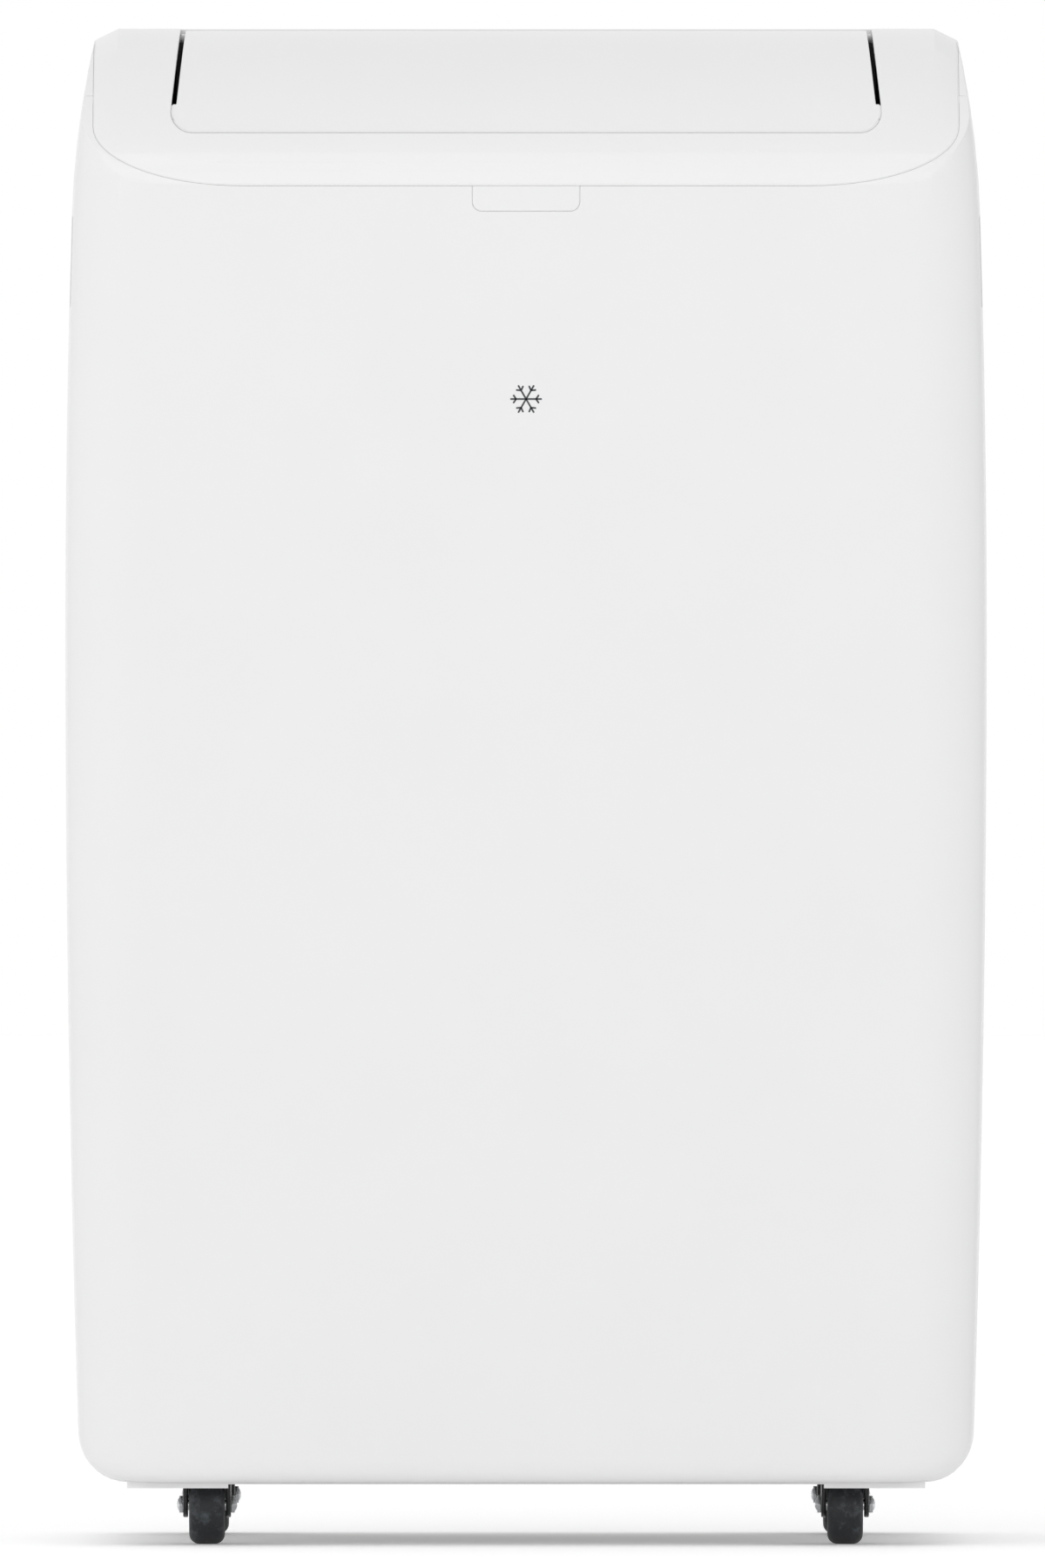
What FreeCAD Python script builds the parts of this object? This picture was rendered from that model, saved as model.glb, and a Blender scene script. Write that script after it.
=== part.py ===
import FreeCAD, Part
import math
import os
import re

import Sketcher

# Portable air conditioner, millimetres, +Z up. The origin is on the floor under the middle
# of the machine, X runs across its front and the front faces -Y.

Vector = FreeCAD.Vector
Rotation = FreeCAD.Rotation

doc = FreeCAD.newDocument("portable_air_conditioner")
sheet = doc.addObject("Spreadsheet::Sheet", "sizes")

driving = {
    # cabinet outside
    "width": 467, "depth": 397, "height": 765, "ground_gap": 32, "wall": 3, "seam": 0.4,
    "foot_drop": 7.2, "belly_height": 460, "shoulder_drop": 3.2, "shoulder_fall": 95,
    "crown_drop": 14.5, "corner_across": 34, "corner_along": 16, "rear_round": 36, "flank_bow": 2.5,
    "collar_stand": 12, "top_round": 93, "foot_chamfer": 9, "foot_corner": 23,
    "crown_slope_width": 14, "crown_slope_drop": 5.5, "rear_chamfer": 18, "floor_lip": 12,
    "panel_split": 22,
    # console and louvre flap
    "console_fall": 80.4, "console_side": 15.9, "console_corner_across": 75,
    "console_corner_up": 32, "console_depth": 328, "flap_fall": 54, "flap_side_top": 43.2,
    "flap_side_low": 38.6, "flap_corner": 11, "flap_end_gap": 2.5, "flap_gap": 0.6,
    "flap_thick": 3, "flap_sink": 1, "flap_slot_fall": 39.3, "flap_depth": 106,
    "hinge_nose": 4.5, "hinge_pin": 3, "running_gap": 0.05, "hinge_ear": 7,
    # outlet duct and vanes
    "duct_side": 8.4, "duct_fall": 73, "duct_roof_fall": 15, "duct_wall": 2.5,
    "duct_front": 180, "duct_roof_front": 124,
    "vane_chord": 44, "vane_thick": 2, "vane_pitch": 60, "vane_pin": 2, "vane_pivot": 96,
    "vane_clear": 1.5, "link_thick": 2,
    # display window and control panel
    "window_half": 26.75, "window_tall": 12.8, "window_corner": 4.5, "window_gap": 0.3,
    "panel_half": 110, "panel_near": 70, "panel_far": 20, "panel_sink": 0.8, "button_radius": 7,
    "button_pitch": 36, "button_travel": 1, "button_gap": 0.4,
    # side handles
    "handle_tall": 46, "handle_fall": 95, "handle_front": 172, "handle_back": 62,
    "handle_deep": 27, "handle_wall": 2.5,
    # rear openings
    "grille_side": 68.5, "upper_low": 508, "upper_fall": 65, "lower_low": 78, "lower_high": 292,
    "grille_thick": 4, "grille_fit": 0.4, "slat_pitch": 8, "slat_gap": 5, "filter_thick": 4,
    "collar_height": 390, "collar_shift": 60, "collar_bore": 75, "collar_wall": 3.5,
    "collar_rim": 17, "collar_long": 42,
    # floor pan and casters
    "pan_wall": 3, "pan_top": 78, "pad_drop": 3, "caster_side": 72.5, "caster_front": 144,
    "caster_rear": 132, "well_play": 5, "fork_room": 9, "wheel_radius": 20, "wheel_half": 9,
    "caster_trail": 12, "stem_radius": 5, "stem_long": 17, "fork_plate": 2.5, "fork_side_gap": 0.6,
    "axle_radius": 3, "wheel_fit": 0.08, "fork_crown": 14,
    # working parts
    "coil_side": 83.5, "coil_thick": 26, "coil_rear_gap": 14, "compressor_radius": 58,
    "compressor_tall": 225, "compressor_x": 128, "compressor_y": 62, "grommet_tall": 18,
    "drip_low": 478, "drip_wall": 2.5, "drip_tall": 22, "evap_fan_radius": 76,
    "evap_fan_x": 0, "evap_fan_fall": 169, "cond_fan_radius": 82, "cond_fan_x": 62,
    "cond_fan_z": 190, "fan_wide": 60, "scroll_gap": 13, "scroll_wall": 2.5, "shaft_radius": 4,
    "splash_radius": 26, "splash_x": -30, "fan_gap": 28, "fan_side": 4, "blades": 32,
    "motor_radius": 45, "motor_long": 50, "spout_radius": 8, "spout_x": -120, "gland_x": -150,
    "gland_z": 345, "gland_bore": 4, "gland_radius": 8.4, "screw_head": 4,
}


def write_sheet():
    for row, (alias, value) in enumerate(driving.items(), start=1):
        sheet.set("A%d" % row, alias)
        sheet.set("B%d" % row, str(value))
        sheet.setAlias("B%d" % row, alias)
    doc.recompute()


write_sheet()

# Places that follow the outside or a piece they fit
followers = {
    "shoulder_height": "(height - shoulder_fall)",
    "console_seam": "(height - console_fall)",
    "console_half": "(width / 2 - console_side)",
    "flap_bottom": "(height - flap_fall)",
    "flap_slot_bottom": "(height - flap_slot_fall)",
    "flap_half_top": "(width / 2 - console_side - flap_side_top)",
    "flap_half_low": "(width / 2 - console_side - flap_side_low)",
    "duct_half": "(width / 2 - console_side - flap_side_top - duct_side)",
    "duct_floor": "(height - duct_fall)",
    "duct_roof": "(height - duct_roof_fall)",
    "handle_low": "(height - handle_fall - handle_tall)",
    "handle_high": "(height - handle_fall)",
    "grille_half": "(width / 2 - grille_side)",
    "upper_high": "(height - upper_fall)",
    "collar_flange": "(collar_bore + collar_rim)",
    "caster_across": "(width / 2 - caster_side)",
    "well_radius": "(caster_trail + wheel_radius + well_play)",
    "well_top": "(2 * wheel_radius + fork_room)",
    "stem_top": "(2 * wheel_radius + fork_room + stem_long)",
    "coil_half": "(width / 2 - coil_side)",
    "evap_fan_z": "(height - evap_fan_fall)",
}


def word_pattern(words):
    return re.compile(r"(?<![\w.])(" + "|".join(sorted(words, key=len, reverse=True)) + r")\b")


follower_pattern = word_pattern(followers)
alias_pattern = word_pattern(driving)


def spelled_out(expression):
    return follower_pattern.sub(lambda found: followers[found.group(1)], str(expression))


def linked(expression):
    """The expression with every size read from the sheet."""
    return alias_pattern.sub(r"sizes.\1", spelled_out(expression))


def size(expression):
    """The present value of an expression of sizes."""
    return float(sheet.evalExpression(spelled_out(expression)))


# Lines and heights that several pieces share
front = "(-depth / 2)"
back = "(depth / 2 - collar_stand)"
arc_z = "(height - top_round)"
arc_y = "(-depth / 2 + sqrt(top_round^2 - (console_seam - height + top_round)^2))"
split = "(panel_split - depth / 2)"
inside_back = "(depth / 2 - collar_stand - wall)"
inside_top = "(height - wall)"
hinge_y = "(flap_depth - depth / 2 - hinge_nose - flap_gap)"
hinge_z = "(height - flap_sink - hinge_nose)"
coil_back = "(depth / 2 - collar_stand - grille_thick - filter_thick - coil_rear_gap)"
coil_front = "(%s - coil_thick)" % coil_back
pan_floor = "(ground_gap + wall + seam)"

nodes = {}


def keep(label, thing):
    thing.Label = label
    nodes[label] = thing
    return thing


def place(thing, x, y, z):
    for axis, expression in zip("xyz", (x, y, z)):
        thing.setExpression("Placement.Base." + axis, linked(expression))
    return thing


def box(x, y, z):
    """A block between a low and a high expression on each axis."""
    block = doc.addObject("Part::Box", "block")
    for side, (low, high) in zip(("Length", "Width", "Height"), (x, y, z)):
        block.setExpression(side, linked("(%s) - (%s)" % (high, low)))
    return place(block, x[0], y[0], z[0])


turns = {"X": Rotation(Vector(0, 1, 0), 90), "Y": Rotation(Vector(1, 0, 0), -90), "Z": Rotation()}


def rod(radius, length, x, y, z, along="Z"):
    """A cylinder that starts at a point and runs along the named axis."""
    cylinder = doc.addObject("Part::Cylinder", "rod")
    cylinder.Placement = FreeCAD.Placement(Vector(), turns[along])
    cylinder.setExpression("Radius", linked(radius))
    cylinder.setExpression("Height", linked(length))
    return place(cylinder, x, y, z)


def joined(*pieces):
    union = doc.addObject("Part::MultiFuse", "joined")
    union.Shapes = list(pieces)
    union.Refine = True
    return union


def grouped(*pieces):
    group = doc.addObject("Part::Compound", "grouped")
    group.Links = list(pieces)
    return group


def cut(base, *tools):
    difference = doc.addObject("Part::Cut", "cut")
    difference.Base = base
    difference.Tool = tools[0] if len(tools) == 1 else joined(*tools)
    difference.Refine = True
    return difference


def cut_apart(base, tools):
    """Cuts many tools that don't touch one another."""
    difference = doc.addObject("Part::Cut", "cut")
    difference.Base = base
    difference.Tool = grouped(*tools)
    return difference


def shared(*pieces):
    section = doc.addObject("Part::MultiCommon", "shared")
    section.Shapes = list(pieces)
    section.Refine = True
    return section


def mirrored_in_x(piece):
    mirror = doc.addObject("Part::Mirroring", "mirrored")
    mirror.Source = piece
    mirror.Normal = Vector(1, 0, 0)
    return mirror


def outline(body, plane, corners, arcs=None):
    """A closed sketch on one of the body's origin planes. Every corner is held by a pair of
    expressions; arcs gives the radius of the edge that leaves a corner, minus for a hollow."""
    arcs = arcs or {}
    sketch = body.newObject("Sketcher::SketchObject", "outline")
    face = [f for f in body.Origin.OriginFeatures if f.Role == plane][0]
    sketch.AttachmentSupport = [(face, "")]
    sketch.MapMode = "FlatFace"
    points = [Vector(size(across), size(up), 0) for across, up in corners]
    for index, start in enumerate(points):
        end = points[(index + 1) % len(points)]
        if index in arcs:
            radius = size(arcs[index])
            chord = end - start
            rise = abs(radius) - math.sqrt(max(radius**2 - chord.Length**2 / 4, 0))
            normal = Vector(chord.y, -chord.x, 0).normalize()
            middle = (start + end) / 2 + normal * math.copysign(rise, radius)
            sketch.addGeometry(Part.Arc(start, middle, end), False)
        else:
            sketch.addGeometry(Part.LineSegment(start, end), False)
    ends = []
    for index, start in enumerate(points):
        near = 1 if (sketch.getPoint(index, 1) - start).Length < 1e-6 else 2
        ends.append((near, 3 - near))
    for index, (across, up) in enumerate(corners):
        before = (index - 1) % len(corners)
        sketch.addConstraint(
            Sketcher.Constraint("Coincident", before, ends[before][1], index, ends[index][0])
        )
        for kind, expression in (("DistanceX", across), ("DistanceY", up)):
            held = Sketcher.Constraint(kind, -1, 1, index, ends[index][0], size(expression))
            number = sketch.addConstraint(held)
            sketch.setExpression("Constraints[%d]" % number, linked(expression))
        if index in arcs:
            held = Sketcher.Constraint("Radius", index, abs(size(arcs[index])))
            number = sketch.addConstraint(held)
            sketch.setExpression("Constraints[%d]" % number, linked("abs(%s)" % arcs[index]))
    return sketch


def padded(plane, corners, low, high, arcs=None):
    """A PartDesign body: an outline on an origin plane, padded from low to high along the
    plane's own axis (+X for YZ, +Y for XZ, +Z for XY)."""
    body = doc.addObject("PartDesign::Body", "padded")
    sketch = outline(body, plane, corners, arcs)
    pad = body.newObject("PartDesign::Pad", "pad")
    pad.Profile = sketch
    pad.setExpression("Length", linked("(%s) - (%s)" % (high, low)))
    if plane == "XZ_Plane":
        sketch.setExpression("AttachmentOffset.Base.z", linked("-(%s)" % high))
    else:
        sketch.setExpression("AttachmentOffset.Base.z", linked(low))
    return body


def revolved(corners, arcs=None):
    """A PartDesign body: an outline in the XZ plane turned about the Z axis."""
    body = doc.addObject("PartDesign::Body", "revolved")
    sketch = outline(body, "XZ_Plane", corners, arcs)
    turn = body.newObject("PartDesign::Revolution", "turn")
    turn.Profile = sketch
    turn.ReferenceAxis = (sketch, ["V_Axis"])
    turn.Angle = 360
    return body


# Cabinet envelope. The plan is flat in front with long elliptical corners, and the sides belly
# out a little between the foot and the shoulders.


def half_width(z, inset):
    """Half of the cabinet's width at a height."""
    belly = size("belly_height")
    shoulder = size("shoulder_height")
    half = size("width / 2")
    if z <= belly:
        return half - size("foot_drop") * ((belly - z) / (belly - size("ground_gap"))) ** 2 - inset
    drop = size("shoulder_drop") * ((z - belly) / (shoulder - belly)) ** 2
    if z > shoulder:
        slope = 2 * size("shoulder_drop") / (shoulder - belly)
        rise = z - shoulder
        left = size("height") - shoulder
        end_drop = size("crown_drop - shoulder_drop") - slope * left
        drop = size("shoulder_drop") + slope * rise + end_drop * (rise / left) ** 2
    return half - drop - inset


def plan_wire(z, inset):
    """The cabinet's plan at a height: flat front, elliptical front corners, bowed flanks."""
    half = half_width(z, inset)
    edge = half - size("flank_bow")
    front_y = size(front) + inset
    back_y = size(back) - inset
    across = size("corner_across") - inset
    along = size("corner_along") - inset
    rear = size("rear_round") - inset
    edges = [Part.makeLine(Vector(-edge + across, front_y, z), Vector(edge - across, front_y, z))]
    for side in (1, -1):
        middle = Vector(side * (edge - across), front_y + along, z)
        tip = Vector(side * (edge - across), front_y, z)
        low = Vector(side * edge, front_y + along, z)
        corner_arc = (Part.Ellipse(low, tip, middle) if across > along
                      else Part.Ellipse(tip, low, middle))
        edges.append(Part.Arc(corner_arc, 0, math.pi / 2).toShape())
        high = Vector(side * edge, back_y - rear, z)
        apex = Vector(side * half, (low.y + high.y) / 2, z)
        edges.append(Part.Arc(low, apex, high).toShape())
        corner = Vector(side * (edge - rear), back_y, z)
        slant = rear * (1 - math.sqrt(0.5))
        bend = Vector(side * (edge - slant), back_y - slant, z)
        edges.append(Part.Arc(high, bend, corner).toShape())
    edges.append(Part.makeLine(Vector(-edge + rear, back_y, z), Vector(edge - rear, back_y, z)))
    return Part.Wire(Part.__sortEdges__(edges))


def flank_loft(inset):
    low = size("ground_gap")
    belly = size("belly_height")
    shoulder = size("shoulder_height")
    top = size("height")
    levels = [low, (2 * low + belly) / 3, (low + 2 * belly) / 3, belly, (belly + shoulder) / 2]
    levels += [shoulder, (2 * shoulder + top) / 3, (shoulder + 2 * top) / 3, top]
    return Part.makeLoft([plan_wire(z, inset) for z in levels], True, False)


def cabinet(inset):
    """The cabinet's outside, or the space that lies an inset within it."""
    loft = doc.addObject("Part::Feature", "flanks")
    loft.Shape = flank_loft(size(inset))
    clear = "(%s - 6)" % front
    side = padded(
        "YZ_Plane",
        [
            (clear, "ground_gap + foot_chamfer + 6 + %s" % inset),
            ("%s + foot_chamfer + %s" % (front, inset), "ground_gap + %s" % inset),
            ("%s - foot_chamfer - %s" % (back, inset), "ground_gap + %s" % inset),
            (back + " + 6", "ground_gap + foot_chamfer + 6 + %s" % inset),
            (back + " + 6", "height - rear_chamfer - 6 - %s" % inset),
            (back + " - rear_chamfer - %s" % inset, "height - %s" % inset),
            (arc_y, "height - %s" % inset),
            ("%s + %s" % (front, inset), "console_seam"),
            (clear, "console_seam"),
        ],
        "-width / 2 - 6",
        "width / 2 + 6",
        {6: "top_round - %s" % inset},
    )
    face = padded(
        "XZ_Plane",
        [
            ("width / 2 - foot_drop - %s - foot_corner" % inset, "ground_gap - 1 + %s" % inset),
            ("width / 2 - foot_drop - %s - 0.3 * foot_corner" % inset,
             "ground_gap + 0.3 * foot_corner + %s" % inset),
            ("width / 2 - foot_drop - %s" % inset, "ground_gap + foot_corner - 1 + %s" % inset),
            ("width / 2 + 6", "ground_gap + 4 * foot_corner"),
            ("width / 2 + 6", "shoulder_height + foot_corner"),
            ("width / 2 - crown_drop + 0.8 - %s" % inset, "height - crown_slope_drop - %s" % inset),
            ("width / 2 - crown_drop - crown_slope_width - %s" % inset, "height + 0.2 - %s" % inset),
            ("-(width / 2 - crown_drop - crown_slope_width - %s)" % inset,
             "height + 0.2 - %s" % inset),
            ("-(width / 2 - crown_drop + 0.8 - %s)" % inset, "height - crown_slope_drop - %s" % inset),
            ("-(width / 2 + 6)", "shoulder_height + foot_corner"),
            ("-(width / 2 + 6)", "ground_gap + 4 * foot_corner"),
            ("-(width / 2 - foot_drop - %s)" % inset, "ground_gap + foot_corner - 1 + %s" % inset),
            ("-(width / 2 - foot_drop - %s - 0.3 * foot_corner)" % inset,
             "ground_gap + 0.3 * foot_corner + %s" % inset),
            ("-(width / 2 - foot_drop - %s - foot_corner)" % inset, "ground_gap - 1 + %s" % inset),
        ],
        front + " - 6",
        back + " + 6",
    )
    return shared(loft, side, face)


outside = cabinet("0")
inside = cabinet("wall")
pan_space = cabinet("(wall + seam)")
pan_hollow = cabinet("(wall + seam + pan_wall)")
floor_half = "(width / 2 - foot_drop - foot_corner - 2)"
floor_hole = box(
    ("-" + floor_half, floor_half),
    (front + " + floor_lip", back + " - floor_lip"),
    ("ground_gap - 1", "ground_gap + wall + 1"),
)
shell = cut(outside, inside, floor_hole)


def console_outline(gap):
    """The space that the console fills, grown by a gap: a U with elliptical lower corners."""
    gap = size(gap)
    half = size("console_half") + gap
    low = size("console_seam") - gap
    across = size("console_corner_across") + gap
    up = size("console_corner_up") + gap
    top = size("height") + 2
    start = size(front) - 1
    edges = [Part.makeLine(Vector(-half + across, start, low), Vector(half - across, start, low))]
    for side in (1, -1):
        middle = Vector(side * (half - across), start, low + up)
        flank = Vector(side * half, start, low + up)
        bottom = Vector(side * (half - across), start, low)
        edges.append(Part.Arc(Part.Ellipse(flank, bottom, middle), 0, math.pi / 2).toShape())
        edges.append(Part.makeLine(flank, Vector(side * half, start, top)))
    edges.append(Part.makeLine(Vector(-half, start, top), Vector(half, start, top)))
    face = Part.Face(Part.Wire(Part.__sortEdges__(edges)))
    space = doc.addObject("Part::Feature", "console_space")
    space.Shape = face.extrude(Vector(0, size("console_depth") + 1 + gap, 0))
    return space


console_room = console_outline("seam")

window_outline = [
    ("window_half", "console_seam + seam"),
    ("window_half", "console_seam - window_tall + window_corner"),
    ("window_half - window_corner", "console_seam - window_tall"),
    ("-(window_half - window_corner)", "console_seam - window_tall"),
    ("-window_half", "console_seam - window_tall + window_corner"),
    ("-window_half", "console_seam + seam"),
]


def window_block(grow, low, high):
    corners = []
    for across, up in window_outline:
        side = "-" if across.startswith("-") else "+"
        corners.append(("%s %s %s" % (across, side, grow), up))
    corners = [(a, u if "+ seam" in u else "%s - %s" % (u, grow)) for a, u in corners]
    return padded("XZ_Plane", corners, low, high, {1: "-window_corner", 3: "-window_corner"})


def front_panel():
    wrap = box(("-width", "width"), (front + " - 1", split), ("0", "height + 1"))
    hole = window_block("window_gap", front + " - 2", front + " + wall + 2")
    keep("front_panel", cut(shared(shell, wrap), console_room, hole))
    window = window_block("0", front, front + " + wall")
    trim = box(("-width", "width"), (front + " - 3", front + " + wall + 3"),
               ("0", "console_seam - seam"))
    keep("display_window", shared(window, trim))


def handle_pocket(side):
    block = box(
        ("width / 2 - handle_deep", "width / 2 + 5"),
        ("-handle_front", "-handle_back"),
        ("handle_low", "handle_high"),
    )
    return block if side > 0 else mirrored_in_x(block)


def handle_cup(side, label):
    around = box(
        ("width / 2 - handle_deep - handle_wall", "width / 2 + 5"),
        ("-handle_front - handle_wall", "-handle_back + handle_wall"),
        ("handle_low - handle_wall", "handle_high + handle_wall"),
    )
    if side < 0:
        around = mirrored_in_x(around)
    keep(label, cut(shared(around, inside), handle_pocket(side)))


pan_top_face = "(%s + pan_wall)" % pan_floor
tray_rear = "(%s + 8)" % coil_back
spout_z = "(drip_low + spout_radius + 2)"
plug_z = "(%s + spout_radius + 8)" % pan_floor
collar_outer = "(collar_bore + collar_wall)"
screw_places = [(across, z) for across in ("width / 2 - 48", "48 - width / 2")
                for z in ("pan_top + 12", "lower_high + 26", "upper_high + 22")]


def through_back(radius, x, z):
    return rod(radius, "wall + 4", x, inside_back + " - 2", z, "Y")


side_back = "(console_depth - depth / 2)"


def side_panels():
    """Both flanks, with the rim beside the console and the openings of the hand recesses."""
    for side, label in ((1, "side_panel_right"), (-1, "side_panel_left")):
        reach = ("0", "width") if side > 0 else ("-width", "0")
        flank = box(reach, (split + " + seam", side_back), ("0", "height + 1"))
        keep(label, cut(shared(shell, flank), handle_pocket(side), console_room))


def rear_shell():
    rest = box(("-width", "width"), (side_back + " + seam", "depth"), ("0", "height + 1"))
    openings = []
    for low, high in (("upper_low", "upper_high"), ("lower_low", "lower_high")):
        openings.append(
            box(("-grille_half", "grille_half"), (inside_back + " - 2", back + " + 2"), (low, high))
        )
    openings.append(through_back(collar_outer + " + seam", "collar_shift", "collar_height"))
    openings.append(through_back("spout_radius + seam", "spout_x", spout_z))
    openings.append(through_back("spout_radius + seam", "0", plug_z))
    openings.append(through_back("gland_radius + 0.1", "gland_x", "gland_z"))
    openings += [through_back("screw_head / 2", x, z) for x, z in screw_places]
    keep("rear_shell", cut(shared(shell, rest), *openings))
    screws = []
    for x, z in screw_places:
        head = rod("screw_head", "1.8", x, back, z, "Y")
        shank = rod("screw_head / 2 - 0.1", "wall + 9", x, back + " - wall - 8", z, "Y")
        screws.append(joined(head, shank))
    keep("rear_screws", grouped(*screws))


def flap_outline(grow, lower):
    """The louvre opening, or the flap inside it, seen from the front."""
    half_top = "(flap_half_top - %s)" % grow
    half_low = "(flap_half_low - %s)" % lower
    low = "(flap_bottom + %s)" % lower
    bend = "(flap_corner - %s)" % lower
    right = [(half_top, "height + 5"), (half_low, low + " + " + bend), (half_low + " - " + bend, low)]
    if grow != lower:
        step = "(flap_half_low - %s - (flap_slot_bottom - flap_bottom - flap_corner) / 12)" % grow
        right = [(half_top, "height + 5"), (step, "flap_slot_bottom"),
                 (half_low, "flap_slot_bottom")] + right[1:]
    left = [("-(%s)" % across, up) for across, up in reversed(right)]
    bent = {len(right) - 2: "-" + bend, len(right): "-" + bend}
    return right + left, bent


def top_console():
    corners, bent = flap_outline("0", "0")
    opening = padded("XZ_Plane", corners, front + " - 5", hinge_y + " + hinge_nose + flap_gap", bent)
    panel_hole = box(("-panel_half", "panel_half"), ("-panel_near", "-panel_far"),
                     ("height - wall - 2", "height + 2"))
    skin = cut(shared(shell, console_outline("0")), opening, panel_hole)
    ears = []
    for inner, outer in (("flap_half_top + 2.6", "flap_half_top + 2.6 + hinge_ear"),
                         ("-(flap_half_top + 2.6 + hinge_ear)", "-(flap_half_top + 2.6)")):
        ear = box((inner, outer), (hinge_y + " - 6", hinge_y + " + 6"), (hinge_z + " - 6", inside_top))
        ears.append(ear)
    bore = rod("hinge_pin + running_gap", "width", "-width / 2", hinge_y, hinge_z, "X")
    keep("top_console", cut(joined(skin, *ears), bore))


def louver_flap():
    outer = "(top_round - flap_sink)"
    inner = "(top_round - flap_sink - flap_thick)"
    low = "(flap_bottom + flap_gap)"
    slab = padded(
        "YZ_Plane",
        [
            ("%s - sqrt(%s^2 - (%s - %s)^2)" % (arc_y, outer, low, arc_z), low),
            (arc_y, "height - flap_sink"),
            (hinge_y, "height - flap_sink"),
            (hinge_y, "height - flap_sink - flap_thick"),
            (arc_y, "height - flap_sink - flap_thick"),
            ("%s - sqrt(%s^2 - (%s - %s)^2)" % (arc_y, inner, low, arc_z), low),
        ],
        "-width / 2",
        "width / 2",
        {0: "-" + outer, 4: inner},
    )
    corners, bent = flap_outline("flap_end_gap", "flap_gap")
    plate = shared(slab, padded("XZ_Plane", corners, front, hinge_y + " + 1", bent))
    half = "(flap_half_top - flap_end_gap)"
    nose = rod("hinge_nose", "2 * " + half, "-" + half, hinge_y, hinge_z, "X")
    reach = "(flap_half_top + 2.6 + hinge_ear)"
    pin = rod("hinge_pin", "2 * " + reach, "-" + reach, hinge_y, hinge_z, "X")
    keep("louver_flap", joined(plate, nose, pin))


fan_back = "(%s - fan_gap)" % coil_front
fan_front = "(%s - fan_wide)" % fan_back
scroll_back = "(%s + fan_side + scroll_wall)" % fan_back
scroll_front = "(%s - fan_side - scroll_wall)" % fan_front
duct_low = "(duct_floor - duct_wall)"
duct_high = "(duct_roof + duct_wall)"
vane_count = 5
vane_places = ["%d * vane_pitch" % (i - vane_count // 2) for i in range(vane_count)]


def horn_mouth(x, radius):
    """The scroll's outlet, between its inner walls."""
    return ("%s - 0.1 * %s" % (x, radius), "%s + %s + scroll_gap" % (x, radius))


def outlet_duct():
    outer = padded(
        "YZ_Plane",
        [("-duct_front", duct_low), (scroll_back, duct_low), (scroll_back, duct_high),
         ("-duct_roof_front", duct_high), ("-duct_front", "duct_floor + 8")],
        "-duct_half - duct_wall",
        "duct_half + duct_wall",
    )
    hollow = box(("-duct_half", "duct_half"), ("-duct_front - 2", scroll_back + " - duct_wall"),
                 ("duct_floor", "duct_roof"))
    inlet = box(horn_mouth("evap_fan_x", "evap_fan_radius"),
                (scroll_front + " + scroll_wall", scroll_back + " - scroll_wall"),
                (duct_low + " - 1", "duct_floor + 1"))
    pins = [rod("vane_pin + running_gap", duct_high + " - %s + 2" % duct_low, x, "-vane_pivot",
                duct_low + " - 1") for x in vane_places]
    keep("outlet_duct", cut(outer, hollow, inlet, *pins))


link_y = "(-vane_pivot + 0.6 * vane_chord)"


def vanes():
    for index, x in enumerate(vane_places, start=1):
        blade = box((x + " - vane_thick / 2", x + " + vane_thick / 2"),
                    ("-vane_pivot - 0.68 * vane_chord", "-vane_pivot + 0.32 * vane_chord"),
                    ("duct_floor + vane_clear", "duct_roof - vane_clear"))
        pin = rod("vane_pin", duct_high + " - " + duct_low, x, "-vane_pivot", duct_low)
        arm = box((x + " - vane_thick / 2", x + " + vane_thick / 2"),
                  ("-vane_pivot + 0.3 * vane_chord", link_y + " + 2"),
                  ("duct_floor + vane_clear", "duct_floor + vane_clear + 4"))
        crank = rod("1.5", "4 + link_thick + 1", x, link_y, "duct_floor + vane_clear")
        keep("vane_%d" % index, joined(blade, pin, arm, crank))
    low = "(duct_floor + vane_clear + 4.3)"
    bar = box(("%s - 5" % vane_places[0], "%s + 5" % vane_places[-1]),
              (link_y + " - 3.5", link_y + " + 3.5"), (low, low + " + link_thick"))
    holes = [rod("1.6", "link_thick + 2", x, link_y, low + " - 1") for x in vane_places]
    keep("vane_link", cut(bar, *holes))


button_names = ("power", "mode", "cooler", "warmer", "fan_speed")
panel_top = "(height - panel_sink)"
panel_under = "(height - wall - 3.8)"
button_y = "(-(panel_near + panel_far) / 2)"


def control_panel():
    plate = box(("-panel_half + seam", "panel_half - seam"),
                ("-panel_near + seam", "-panel_far - seam"), (panel_under, panel_top))
    flange = box(("-panel_half - 4", "panel_half + 4"), ("-panel_near - 4", "-panel_far + 4"),
                 (panel_under, "height - wall - 0.1"))
    places = ["%d * button_pitch" % (i - len(button_names) // 2) for i in range(len(button_names))]
    holes = [rod("button_radius + button_gap", "10", x, button_y, panel_under + " - 2")
             for x in places]
    keep("control_panel", cut(joined(plate, flange), *holes))
    board_top = "(%s - 0.9 - button_travel - 0.2)" % panel_under
    for name, x in zip(button_names, places):
        cap_low = panel_under + " - 0.9"
        cap = rod("button_radius", "height - (%s)" % cap_low, x, button_y, cap_low)
        rim = rod("button_radius + 1.5", "0.7", x, button_y, cap_low)
        keep("button_" + name, joined(cap, rim))
    keep("control_board", box(("-panel_half + 12", "panel_half - 12"),
                              ("-panel_near + 4", "-panel_far - 4"),
                              (board_top + " - 1.6", board_top)))


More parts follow.
